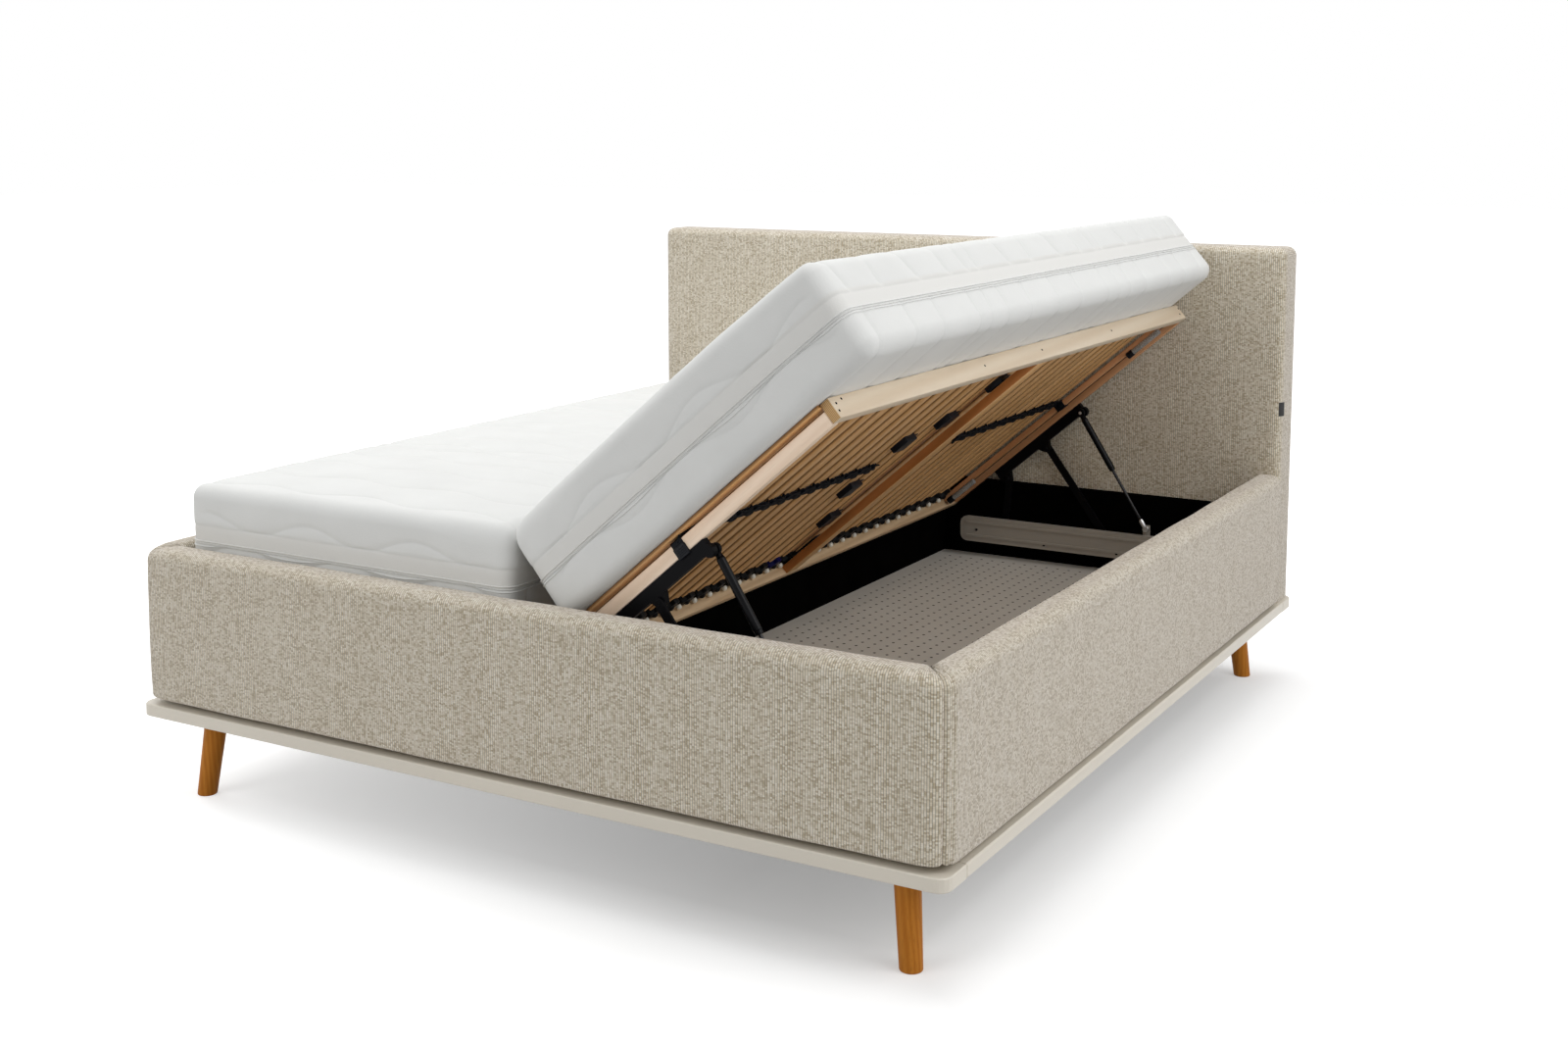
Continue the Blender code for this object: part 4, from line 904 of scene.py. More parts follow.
foot_low, foot_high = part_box("footboard")
side_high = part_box("right_side_rail")[1]
HALF_WIDTH, FOOT_FACE = side_high.x, foot_low.y
PADDING_BELOW, PADDING_ABOVE = 0.007, 0.013
RAIL_THICK = foot_high.y - foot_low.y
RAIL_SECTION = rail_section(RAIL_THICK, foot_low.z - PADDING_BELOW, foot_high.z + PADDING_ABOVE)
print("Section points:", len(RAIL_SECTION))


# %% A rail along a straight run, with a mitred corner at its start and, if asked, at its end
def run_of_rail(start, end, mitre_end):
    """Rows of (x along the run, y inwards from the outer face, z, seam depth), and how far along
    the cloth each row lies."""
    thick = RAIL_THICK
    stations = [("start", share) for share in 1 - CORNER_STATIONS ** 1.4]
    shares = list(np.linspace(0, 1, int((end - start) / 0.03)))
    if not mitre_end:
        shares[-1:] = 1 - OPEN_END_STATIONS / (end - start)
    stations += [("run", share) for share in shares]
    if mitre_end:
        stations += [("end", share) for share in CORNER_STATIONS ** (1 / 1.4)]
    first = start + thick
    last = end - (thick if mitre_end else 0)

    def corner_point(depth, share):
        """Distance beyond the run and depth, for a share of the way to the mitre."""
        bend = max(RAIL_CORNER - depth, 0)
        straight = thick - max(RAIL_CORNER, depth)
        length = straight + bend * math.pi / 4
        reach = share * length
        if reach <= straight or bend == 0:
            return reach, depth
        turn = (reach - straight) / bend
        return straight + bend * math.sin(turn), RAIL_CORNER - bend * math.cos(turn)

    grid = []
    for kind, share in stations:
        row = []
        for depth, z in RAIL_SECTION:
            if kind == "run":
                x, y, seam = first + (last - first) * share, depth, 0.0
            else:
                reach, y = corner_point(depth, share)
                x = first - reach if kind == "start" else last + reach
                seam = SEAM_DEPTH * math.exp(-(((1 - share) * thick) / SEAM_REACH) ** 2)
            row.append([x, y, z, seam])
        grid.append(row)
    return np.array(grid), travelled([row[len(row) // 4][:2] for row in grid])


def rail_mesh(name, grid, lengths, to_world, mitres=(True, True), grooves=()):
    """Close a swept grid into a solid with seams, foam swell and a UV map."""
    rows, columns = grid.shape[:2]
    around = travelled(RAIL_SECTION)
    places = np.array([to_world(*point[:3]) for point in grid.reshape(-1, 4)])
    places = places.reshape(rows, columns, 3)
    middle = places.mean(axis=1, keepdims=True)
    normals = np.cross(np.gradient(places, axis=0), np.gradient(places, axis=1))
    normals /= np.linalg.norm(normals, axis=2, keepdims=True) + 1e-9
    outwards = np.sign((normals * (places - middle)).sum(axis=2, keepdims=True).mean())
    normals *= outwards
    depth = grid[:, :, 3].copy()
    for place, deep, wide in grooves:
        depth += deep * np.exp(-((lengths[:, None] - place) / wide) ** 2)
    low, high = grid[:, :, 2].min(), grid[:, :, 2].max()
    for mitred, away in zip(mitres, (lengths, lengths[-1] - lengths)):
        sag = np.exp(-(away[:, None] / CORNER_REACH) ** 2) * mitred
        lift = (grid[:, :, 2] - low) / (high - low)
        places[:, :, 2] -= sag * (CORNER_SAG * lift ** 4 - CORNER_LIFT * (1 - lift) ** 6)
        depth += sag * CORNER_DRAW * (lift ** 6 + (1 - lift) ** 8)
    for row in range(rows):
        for column in range(columns):
            lift = swell(places[row, column], FOAM_SWELL) - FOAM_SWELL * 0.4
            places[row, column] += normals[row, column] * (lift - depth[row, column])
    faces, uvs = [], []
    for row in range(rows - 1):
        for column in range(columns):
            after = (column + 1) % columns
            corner = [(row, column), (row + 1, column), (row + 1, after), (row, after)]
            if outwards > 0:
                corner.reverse()
            faces.append([a * columns + b for a, b in corner])
            closing = column == columns - 1
            uvs += [(lengths[a], around[-1] + 0.05 if closing and b == 0 else around[b])
                    for a, b in corner]
    ends = [list(range(columns)), list(range((rows - 1) * columns, rows * columns))]
    ends[1 if outwards > 0 else 0].reverse()
    places = places.reshape(-1, 3)
    for end in ends:
        faces.append(end)
        uvs += [(places[index][0], places[index][2]) for index in end]
    return soften(clothed(name, places, faces, uvs), 60)


# %% Footboard and side rails
mesh = rail_mesh("padded_footboard", *run_of_rail(-HALF_WIDTH, HALF_WIDTH, True),
                 lambda x, y, z: (x, FOOT_FACE + y, z))
footboard = stand("padded_footboard", mesh, CLOTH)
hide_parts("footboard")
print("Footboard:", len(mesh.vertices), "points")

# grooves across a side rail: the place along it, the depth and the width
grid, lengths = run_of_rail(FOOT_FACE, side_high.y, False)
RAIL_GROOVES = ((0.016, 0.0022, 0.0028), (lengths[-1], 0.008, 0.006))
for side, sign in (("right", 1), ("left", -1)):
    mesh = rail_mesh(f"padded_{side}_rail", grid, lengths,
                     lambda x, y, z: (sign * (HALF_WIDTH - y), x, z), (True, False), RAIL_GROOVES)
    rail = stand(f"padded_{side}_rail", mesh, CLOTH)
    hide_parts(f"{side}_side_rail")
print("Side rails:", len(mesh.vertices), "points each")

# %% [markdown]
# ## Headboard
# The headboard is one flat padded panel. Its front, top and back are a single wrap of cloth, and
# its two narrow sides are closed with strips of the same cloth. It is drawn as an upright section
# that travels across the bed, and the section shrinks towards each side to round that edge.

# %% Headboard
HEAD_EDGE, HEAD_HEM = 0.024, 0.006
head_low, head_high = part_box("headboard")


def head_section(inset):
    """(y, z) outline of the headboard, from the front hem over the top down to the back hem."""
    front, foot = Vector((head_low.y + inset, head_low.z))
    back, top = Vector((head_high.y - inset, head_high.z - inset))
    edge = max(HEAD_EDGE - inset, 0.001)
    points = [(front + HEAD_HEM * 0.3, foot)]
    points += [(front, z) for z in np.linspace(foot + HEAD_HEM, top - edge, 36)]
    points += [(front + edge * (1 - math.cos(turn)), top - edge * (1 - math.sin(turn)))
               for turn in quarter(9)[1:]]
    points += [(y, top) for y in np.linspace(front + edge, back - edge, 8)[1:-1]]
    points += [(back - edge * (1 - math.sin(turn)), top - edge * (1 - math.cos(turn)))
               for turn in quarter(9)]
    points += [(back, z) for z in np.linspace(top - edge, foot + HEAD_HEM, 36)[1:]]
    return points + [(back - HEAD_HEM * 0.3, foot)]


stations = [(head_low.x + HEAD_EDGE * (1 - math.cos(turn)), HEAD_EDGE * (1 - math.sin(turn)))
            for turn in quarter(7)]
flat_run = np.linspace(head_low.x + HEAD_EDGE, head_high.x - HEAD_EDGE, 64)
stations += [(x, 0.0) for x in flat_run[1:-1]]
stations += [(head_high.x - (x - head_low.x), inset) for x, inset in reversed(stations[:7])]
places = np.array([(x, y, z) for x, inset in stations for y, z in head_section(inset)])
faces, uvs = [], []
around, travel = travelled(head_section(0)), travelled(stations)
columns = len(around)
for row in range(len(stations) - 1):
    for column in range(columns - 1):
        corner = [(row, column), (row + 1, column), (row + 1, column + 1), (row, column + 1)]
        faces.append([a * columns + b for a, b in corner])
        uvs += [(travel[a], around[b]) for a, b in corner]
faces.append([row * columns for row in range(len(stations) - 1, -1, -1)]
             + [row * columns + columns - 1 for row in range(len(stations))])
uvs += [(places[index][0], places[index][1]) for index in faces[-1]]
for end in (range(columns), range(len(places) - 1, len(places) - columns - 1, -1)):
    faces.append(list(end))
    uvs += [(places[index][1] + 3.0, places[index][2]) for index in end]
mesh = clothed("padded_headboard", places, faces, uvs)
for vert in mesh.vertices:
    if vert.co.y < head_low.y + 0.001:
        vert.co.y += 0.0008 - swell(vert.co, 0.0012, 4.0)
headboard = stand("padded_headboard", soften(mesh, 60), CLOTH)
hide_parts("headboard")
print("Headboard:", len(mesh.vertices), "points")

# %% Plain label in the headboard's side seam
TAG_FOOT, TAG_HEIGHT, TAG_THICK = 0.716, 0.036, 0.0012
TAG_TURNS = np.radians(np.linspace(6, 50, 9))
middle_x, middle_y = head_high.x - HEAD_EDGE, head_low.y + HEAD_EDGE
outline = [(middle_x + radius * math.cos(turn), middle_y - radius * math.sin(turn))
           for radius, turns in ((HEAD_EDGE + TAG_THICK, TAG_TURNS),
                                 (HEAD_EDGE - 0.0004, TAG_TURNS[::-1])) for turn in turns]
count = len(outline)
faces = [list(range(count))[::-1], list(range(count, 2 * count))]
faces += [(step, (step + 1) % count, (step + 1) % count + count, step + count)
          for step in range(count)]
mesh = new_mesh("headboard_tag",
                [(x, y, z) for z in (TAG_FOOT, TAG_FOOT + TAG_HEIGHT) for x, y in outline], faces)
soften(mesh, 40)
face_outwards(mesh)
stand("headboard_tag", mesh, LABEL)
print("Label from", TAG_FOOT, "to", round(TAG_FOOT + TAG_HEIGHT, 3))

# %% [markdown]
# ## Plinth and legs
# The plinth boards are sawn and lacquered solids whose shape is right already, so they only get
# their finish. The legs are turned on a lathe and lean outwards. A turned shape is spun from its
# profile and then sheared, which keeps its top and foot level.

# %% Plinth finish and turned legs
def finish_solids(material, *names):
    """Give CAD solids a finish in place of their plain one."""
    for name in names:
        solid = nodes[name]
        for index in range(len(solid.material_slots)):
            solid.material_slots[index].material = material


finish_solids(LACQUER, *(f"plinth_{place}_board" for place in ("foot", "head", "left", "right")))
LEG_TOP, LEG_FOOT, LEG_LEAN = 0.0255, 0.0215, 0.020

for end, lengthwise in (("foot", -1), ("head", 1)):
    for side, sideways in (("right", 1), ("left", -1)):
        low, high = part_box(f"{end}_{side}_leg")
        height = high.z - low.z
        profile = eased([(0, 0), (LEG_FOOT, 0), (LEG_TOP, height), (0, height)], 0.003, 4)
        mesh = lathe(f"turned_{end}_{side}_leg", profile)
        lean = Matrix.Identity(4)
        lean[0][2], lean[1][2] = -sideways * LEG_LEAN / height, -lengthwise * LEG_LEAN / height
        mesh.transform(lean)
        foot_x = (high.x if side == "right" else -low.x) - LEG_FOOT
        foot_y = max(abs(low.y), abs(high.y)) - LEG_FOOT
        mesh.transform(Matrix.Translation((sideways * foot_x, lengthwise * foot_y, low.z)))
        leg = stand(f"turned_{end}_{side}_leg", soften(mesh, 45), OAK)
        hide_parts(f"{end}_{side}_leg")
print("Legs:", len(mesh.vertices), "points each")

# %% [markdown]
# ## Storage box
# Below the slat frames is a box of black boards with a pale floor, whose boards are plain and
# already right. The floor is drilled with a square grid of small air holes. A Geometry Nodes grid
# gives their places, and a flat dark disc on each looks like a hole at this size.

# %% Board finishes and air holes
finish_solids(BLACK_BOARD, "foot_box_panel", "head_box_panel", "right_box_panel", "left_box_panel",
              "floor_beam", "storage_divider")
finish_solids(FLOOR_BOARD, "right_storage_floor", "left_storage_floor")
finish_solids(GUIDE_PAINT,
              *(f"{side}_{end}_guide_rail" for side in SIDES for end in ("foot", "head")))


def make_hole_tree():
    tree, given, result = growing_tree("air_holes", {
        "Across": "Int", "Along": "Int", "Pitch": "Float", "Radius": "Float",
        "Material": "Material"})
    wide, long = (math_node(tree, "MULTIPLY", math_node(tree, "SUBTRACT", given[label], 1.0),
                            given["Pitch"]) for label in ("Across", "Along"))
    places = add(tree, "GeometryNodeMeshGrid", {"Size X": wide, "Size Y": long,
                                                "Vertices X": given["Across"],
                                                "Vertices Y": given["Along"]})
    disc = add(tree, "GeometryNodeMeshCircle", {"Vertices": 8, "Radius": given["Radius"]},
               fill_type="NGON")
    holes = add(tree, "GeometryNodeInstanceOnPoints", {"Points": places.outputs[0],
                                                       "Instance": disc.outputs[0]})
    return paint_and_end(tree, given, result, holes.outputs[0])


AIR_HOLES = make_hole_tree()
HOLES_ACROSS, HOLES_ALONG, HOLE_PITCH, HOLE_RADIUS = 24, 56, 0.0325, 0.0038
HOLES_MIDDLE, HOLE_RISE = (0.431, -0.0036), 0.0002
for side, sign in (("right", 1), ("left", -1)):
    low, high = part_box(f"{side}_storage_floor")
    mesh = grow(AIR_HOLES, f"{side}_air_holes", {"Across": HOLES_ACROSS, "Along": HOLES_ALONG,
                                                 "Pitch": HOLE_PITCH, "Radius": HOLE_RADIUS,
                                                 "Material": HOLE})
    x, y = HOLES_MIDDLE
    mesh.transform(Matrix.Translation((sign * x, y, high.z + HOLE_RISE)))
    stand(f"{side}_air_holes", mesh, HOLE)
print("Air holes on each floor:", HOLES_ACROSS * HOLES_ALONG)

# %% [markdown]
# ## Lift fittings
# Each half hangs on two steel arms with two links and a gas spring each. Arms and links are flat
# steel, so the solids keep their shape and get a black coating. The gas springs are turned parts
# and are spun anew with collars, eyes and a ball socket. Each one is drawn along its own axis.

# %% Arms, links and gas springs
finish_solids(BLACK_STEEL, *(f"{side}_{end}_{name}" for side in SIDES for end in ("foot", "head")
                             for name in ("arm", "outer_link", "inner_link")))
CYLINDER, CYLINDER_END, CYLINDER_MOUTH = 0.0088, 0.0080, 0.178
ROD, ROD_LENGTH, SOCKET, SOCKET_NECK = 0.004, 0.200, 0.0062, 0.0052
SPRING_REACH = {"right": 0.3579, "left": 0.2660}
# radius and thickness of the discs on the pins at the spring's ends
UPPER_DISC, UPPER_PIN, ROD_BALL = (0.0118, 0.0096), (0.0052, 0.0116), (0.009, 0.0084)


def turned(corners, ease, steps, material, place):
    """Spin a rounded (radius, height) profile, paint it and put it in its place."""
    mesh = lathe("turned", eased([(0, corners[0][1]), *corners, (0, corners[-1][1])], ease), steps)
    mesh.materials.append(material)
    mesh.transform(place)
    return mesh


def disc_across(radius, thick, place, material):
    return turned([(radius, -thick / 2), (radius, thick / 2)], thick * 0.2, 32, material,
                  Matrix.Translation(place) @ Matrix.Rotation(math.radians(90), 4, "X"))


for side in SIDES:
    pivot = Vector(joints[f"{side}_gas_cylinder_turn"]["pos_m"])
    heading = Vector(joints[f"{side}_piston_rod_slide"]["axis"])
    for end in ("foot", "head"):
        low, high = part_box(f"{side}_{end}_gas_cylinder")
        upper = Vector((pivot.x, (low.y + high.y) / 2, pivot.z))
        reach, place = SPRING_REACH[side], along(heading, upper)
        tube = [(0.0064, 0.010), (0.0070, 0.017), (CYLINDER, 0.021),
                (CYLINDER, CYLINDER_MOUTH - 0.009), (CYLINDER_END, CYLINDER_MOUTH - 0.007),
                (CYLINDER_END, CYLINDER_MOUTH)]
        body = joined(f"{side}_{end}_gas_tube", [turned(tube, 0.0012, 40, TUBE_STEEL, place),
                                                 disc_across(*UPPER_DISC, upper, BLACK_STEEL),
                                                 disc_across(*UPPER_PIN, upper, ZINC)])
        body.set_sharp_from_angle(angle=math.radians(40))
        piece = stand(body.name, body, TUBE_STEEL, f"{side}_gas_cylinders")
        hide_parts(f"{side}_{end}_gas_cylinder")
        shaft = [(ROD, reach - ROD_LENGTH), (ROD, reach - 0.012)]
        socket = [(SOCKET_NECK, reach - 0.030), (SOCKET, reach - 0.026), (SOCKET, reach - 0.005)]
        ball = upper + heading * reach
        rod = joined(f"{side}_{end}_gas_rod", [turned(shaft, 0.0008, 24, ROD_STEEL, place),
                                               turned(socket, 0.0010, 24, ZINC, place),
                                               disc_across(*ROD_BALL, ball, ZINC)])
        rod.set_sharp_from_angle(angle=math.radians(40))
        piece = stand(rod.name, rod, ROD_STEEL, f"{side}_piston_rods")
        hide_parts(f"{side}_{end}_piston_rod")
print("Rods reach", SPRING_REACH)

# %% [markdown]
# ## Bolts of the lift
# The pivots on the arms end in domed steel heads, and the cream guide rails are screwed on with
# small dark screws. Both are turned once and then set on points.

# %% Bolt and screw heads
SUNK = 0.0004


def dome(radius, height, foot=0.0005):
    curve = [(radius * math.cos(turn), height * math.sin(turn)) for turn in quarter(7)]
    return lathe("dome", [(0, -foot), (radius, -foot), *curve[:-1], (0, height)], 20)


def hollow_screw(radius, height):
    """A low round head with a hollow in the middle."""
    rim = [(1.0, 0.5), (0.75, 1.0), (0.35, 1.0), (0.0, 0.35)]
    return lathe("screw", [(0, -SUNK), (radius, -SUNK),
                           *((radius * out, height * up) for out, up in rim)], 12)


# end, direction into the box, place of the end panel's inner face
WALLS = (("foot", 1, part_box("foot_box_panel")[1].y), ("head", -1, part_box("head_box_panel")[0].y))
ARM_PIVOTS, ARM_FACE = ((0.2033, 0.3971), (0.0550, 0.3970)), 0.0230
GUIDE_SCREWS, GUIDE_FACE = ((0.07, 0.336), (0.36, 0.315), (0.66, 0.315), (0.93, 0.336)), 0.0450
PIVOT_HEAD, GUIDE_SCREW = (0.0075, 0.0040), (0.0038, 0.0016)
for side in SIDES:
    places, facings = zip(*[((x, wall + inwards * ARM_FACE, z), (0, inwards, 0))
                            for _, inwards, wall in WALLS for x, z in ARM_PIVOTS])
    mesh = set_on_points("pivot_heads", dome(*PIVOT_HEAD), BLACK_STEEL, places, facings)
    settle("pivot_heads", mesh, BLACK_STEEL, side, "lift")
    places, facings = [], []
    for end, inwards, wall in WALLS:
        low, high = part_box(f"{side}_{end}_guide_rail")
        for share, z in GUIDE_SCREWS:
            x = low.x + (high.x - low.x) * (share if side == "right" else 1 - share)
            places.append((x, wall + inwards * GUIDE_FACE, z))
            facings.append((0, inwards, 0))
    mesh = set_on_points("guide_screws", hollow_screw(*GUIDE_SCREW), BLACK_STEEL, places, facings,
                         turn=0.8, seed=4)
    stand(f"{side}_guide_screws", mesh, BLACK_STEEL)
print("Screws on the guide rails:", len(places) * 2)

# %% [markdown]
# ## Slat frames
# Two long rails and three bars make each frame. They are sawn, planed and lightly rounded. The
# outer rail is laminated, and its sawn ends show the layers, so those faces get a finish of their
# own.

# %% Rails and bars
BAR_ROUNDING, RAIL_ROUNDING, CENTRE_THINNER = 0.0022, 0.0025, 0.008


def dress_board(node, material, radius=BAR_ROUNDING, ends=None, thin=0.0):
    """Replace a sawn solid of both slat frames by a finely rounded board."""
    low, high = closed_box(f"slat_frame_{node}")
    mesh = plank(node, low, (high.x, high.y, high.z - thin), radius)
    mesh.materials.append(material)
    if ends:
        mesh.materials.append(ends)
        for face in mesh.polygons:
            if abs(face.normal.y) > 0.9:
                face.material_index = 1
    for side in SIDES:
        piece = settle(f"planed_{node}", mesh.copy(), material, side, "slat_frame")
        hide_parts(f"{side}_slat_frame_{node}")
    return low, high


rail_low, rail_high = dress_board("outer_rail", BIRCH, RAIL_ROUNDING, PLIES)
dress_board("inner_rail", INNER_BIRCH, RAIL_ROUNDING, PLIES)
foot_bar = dress_board("foot_bar", BEECH_BAR)
head_bar = dress_board("head_bar", SHADED_HEAD_BEECH)
# the centre bar's faces that look along the bed get the darker beech: painted shade
dress_board("centre_bar", SLAT_WOOD, ends=SHADED_CENTRE_BEECH, thin=CENTRE_THINNER)
SECOND_BAR, SECOND_BAR_RISE = (0.880, 0.900), 0.0135
(left_end, near_side, foot), (right_end, _, top) = head_bar
for side in SIDES:
    mesh = plank("second_head_bar", (left_end, SECOND_BAR[0], foot + SECOND_BAR_RISE),
                 (right_end, SECOND_BAR[1], top), BAR_ROUNDING)
    settle("second_head_bar", mesh, SHADED_HEAD_BEECH, side, "slat_frame")
    # a thin dark strip across the head bar's face: a painted shadow line standing for the dark gap
    # between the two head bars
    mesh = plank("bar_joint", (left_end + 0.002, near_side - 0.0006, foot + 0.0158),
                 (right_end - 0.002, near_side + 0.0010, foot + 0.0174), 0.0003)
    settle("bar_joint", mesh, BLACK_PLASTIC, side, "slat_frame")
print("Outer rail:", *([round(value, 3) for value in corner] for corner in (rail_low, rail_high)))

# %% [markdown]
# ## Slats
# Thirty sprung slats of layered beech lie in a row. A Geometry Nodes tree lays them out: a rounded
# rectangle is swept into one slat, and a line of points carries thirty of them. A seeded tone on
# each slat makes the row differ in colour, as real wood does.

# %% Tree for the row of slats
def rounded_bar(tree, given, curve, count, radius):
    """Sweep a flat rectangle with rounded corners along a curve; returns the geometry."""
    outline = add(tree, "GeometryNodeCurvePrimitiveQuadrilateral",
                  {"Width": given["Width"], "Height": given["Thickness"]})
    rounded = add(tree, "GeometryNodeFilletCurve",
                  {"Curve": outline.outputs[0], "Count": count, "Radius": radius}, mode="POLY")
    return add(tree, "GeometryNodeCurveToMesh",
               {"Curve": curve, "Fill Caps": True, "Profile Curve": rounded.outputs[0]}).outputs[0]


def make_slat_tree():
    tree, given, result = growing_tree("slat_row", {
        "Count": "Int", "Pitch": "Float", "Length": "Float", "Width": "Float", "Thickness": "Float",
        "Rounding": "Float", "Seed": "Int", "Material": "Material"})
    reach = add(tree, "ShaderNodeCombineXYZ", {0: given["Length"]})
    run = add(tree, "GeometryNodeCurvePrimitiveLine", {"End": reach.outputs[0]})
    slat = rounded_bar(tree, given, run.outputs[0], 3, given["Rounding"])
    step = add(tree, "ShaderNodeCombineXYZ", {1: given["Pitch"]})
    row = add(tree, "GeometryNodeMeshLine", {"Count": given["Count"], "Offset": step.outputs[0]})
    placed = add(tree, "GeometryNodeInstanceOnPoints", {"Points": row.outputs[0], "Instance": slat})
    number = add(tree, "GeometryNodeInputIndex")
    tone = add(tree, "FunctionNodeRandomValue", {"ID": number.outputs[0], "Seed": given["Seed"]},
               data_type="FLOAT")
    toned = add(tree, "GeometryNodeStoreNamedAttribute",
                {"Geometry": placed.outputs[0], "Name": "tone", "Value": tone.outputs[1]},
                data_type="FLOAT", domain="INSTANCE")
    return paint_and_end(tree, given, result, toned.outputs[0])


SLAT_ROW = make_slat_tree()
SLAT_COUNT, SLAT_WIDTH, SLAT_THICK = 30, 0.038, 0.008
slat_low, slat_high = closed_box("slats")
cap_low, cap_high = closed_box("slat_caps")
FIRST_SLAT, LAST_SLAT = cap_low.y + 0.009, 0.862
SLAT_PITCH = (LAST_SLAT - FIRST_SLAT) / (SLAT_COUNT - 1)
mesh = grow(SLAT_ROW, "slat_row", {"Count": SLAT_COUNT, "Pitch": SLAT_PITCH,
                                   "Length": slat_high.x - slat_low.x, "Width": SLAT_WIDTH,
                                   "Thickness": SLAT_THICK, "Rounding": 0.0028, "Seed": 5,
                                   "Material": SLAT_WOOD})
mesh.transform(Matrix.Translation((slat_low.x, FIRST_SLAT, slat_high.z - SLAT_THICK / 2)))
face_outwards(mesh)
for side in SIDES:
    slats = settle("sprung_slats", mesh.copy(), SLAT_WOOD, side, "slat_frame")
    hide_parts(f"{side}_slats")
print("Slats:", SLAT_COUNT, "pitch:", round(SLAT_PITCH, 4),
      "box:", [round(value, 3) for value in slats.bound_box[0]])

# %% [markdown]
# ## Caps and sliders
# A moulded rubber cap holds each slat end along the inner rail, with a pale plug beside it. Two
# of the caps are dark blue. In the middle zone, black sliders clip pairs of slats together and
# make the bed firmer there. Each shape is modelled once in its own coordinates.

# %% Rubber caps and plugs
def cap_shape(width, deep, high):
    """A cap with chamfered corners: X along the slat, Y along the rail, Z up."""
    half = width / 2
    one_side = [(0, half * 0.7), (deep * 0.35, half), (deep * 0.75, half), (deep * 1.2, half * 0.5),
                (deep * 1.7, half * 0.45)]
    outline = [(x, -y) for x, y in one_side] + one_side[::-1]
    edit = bmesh.new()
    base = [edit.verts.new((x, y, 0)) for x, y in outline]
    face = edit.faces.new(base)
    lifted = bmesh.ops.extrude_face_region(edit, geom=[face])["geom"]
    bmesh.ops.translate(edit, vec=(0, 0, high),
                        verts=[item for item in lifted if isinstance(item, bmesh.types.BMVert)])
    bmesh.ops.bevel(edit, geom=edit.edges[:], offset=0.0014, segments=2, profile=0.5,
                    affect="EDGES")
    bmesh.ops.recalc_face_normals(edit, faces=edit.faces)
    mesh = bpy.data.meshes.new("cap")
    edit.to_mesh(mesh)
    edit.free()
    return soften(mesh, 40)


BLUE_CAPS = (14, 17)
CAP_DROP = 0.0035


def in_row(name, shape, material, places, facing=1):
    """Set a shape on points under the slats, looking up or down, its X across the bed."""
    return set_on_points(name, shape, material, places, [(0, 0, facing)] * len(places), (1, 0, 0))


cap_places = [(cap_low.x, FIRST_SLAT + SLAT_PITCH * step, cap_low.z - CAP_DROP)
              for step in range(SLAT_COUNT)]
plug_places = [(cap_low.x + 0.010, y + SLAT_PITCH / 2, cap_low.z - CAP_DROP - 0.0035)
               for _, y, _ in cap_places[:-1]]
shape = (0.042, 0.022, cap_high.z - cap_low.z + CAP_DROP)
black_places = [place for step, place in enumerate(cap_places) if step not in BLUE_CAPS]
blue_places = [cap_places[step] for step in BLUE_CAPS]
for side in SIDES:
    rows = [in_row("caps", cap_shape(*shape), finish, places)
            for finish, places in ((RUBBER, black_places), (BLUE_PLASTIC, blue_places))]
    places = [(x + 0.013, y, z + 0.002) for x, y, z in cap_places]
    rows.append(in_row("knobs", dome(0.0085, 0.008, 0.005), RUBBER, places, -1))
    caps = settle("rubber_caps", joined("rubber_caps", rows), RUBBER, side, "slat_frame")
    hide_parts(f"{side}_slat_caps")
    plugs = in_row("plugs", dome(0.0064, 0.0055, 0.004), WHITE_PLUG, plug_places, -1)
    settle("pale_plugs", plugs, WHITE_PLUG, side, "slat_frame")
print("Caps:", len(cap_places), "plugs:", len(plug_places))


# %% Sliders in the middle zone
def slider_shape():
    """A sleeve round two slats with a lug in the middle."""
    parts = [plank("sleeve", (-0.014, -0.030, -0.0056), (0.014, 0.034, 0.0046), 0.0015, 2),
             plank("lug", (-0.026, -0.046, -0.0170), (0.021, 0.004, 0.0046), 0.002, 2)]
    return soften(joined("slider", parts), 40)


SLIDER_PLACES = ((0.106, 0.085), (0.246, -0.045), (0.406, -0.174), (0.583, -0.181), (0.640, -0.077),
                 (0.766, 0.006))
SLIDER_Z = slat_high.z - SLAT_THICK / 2 - 0.0002
places = []
for x, y in SLIDER_PLACES:
    step = math.floor((y - FIRST_SLAT) / SLAT_PITCH)
    places.append((x, FIRST_SLAT + SLAT_PITCH * (step + 0.5), SLIDER_Z))
for side in SIDES:
    mesh = in_row("sliders", slider_shape(), BLACK_PLASTIC, places)
    settle("firmness_sliders", mesh, BLACK_PLASTIC, side, "slat_frame")
print("Sliders:", len(places))

# %% [markdown]
# ## Straps, tubes and screws
# A black strap runs under the slats, weaves up and down between them and wraps round a bar at
# each end, closed by a ribbed buckle. A Geometry Nodes tree sweeps a flat profile along such a
# path, tilted at each point as an attribute says. The same tree later makes the zip's piping.

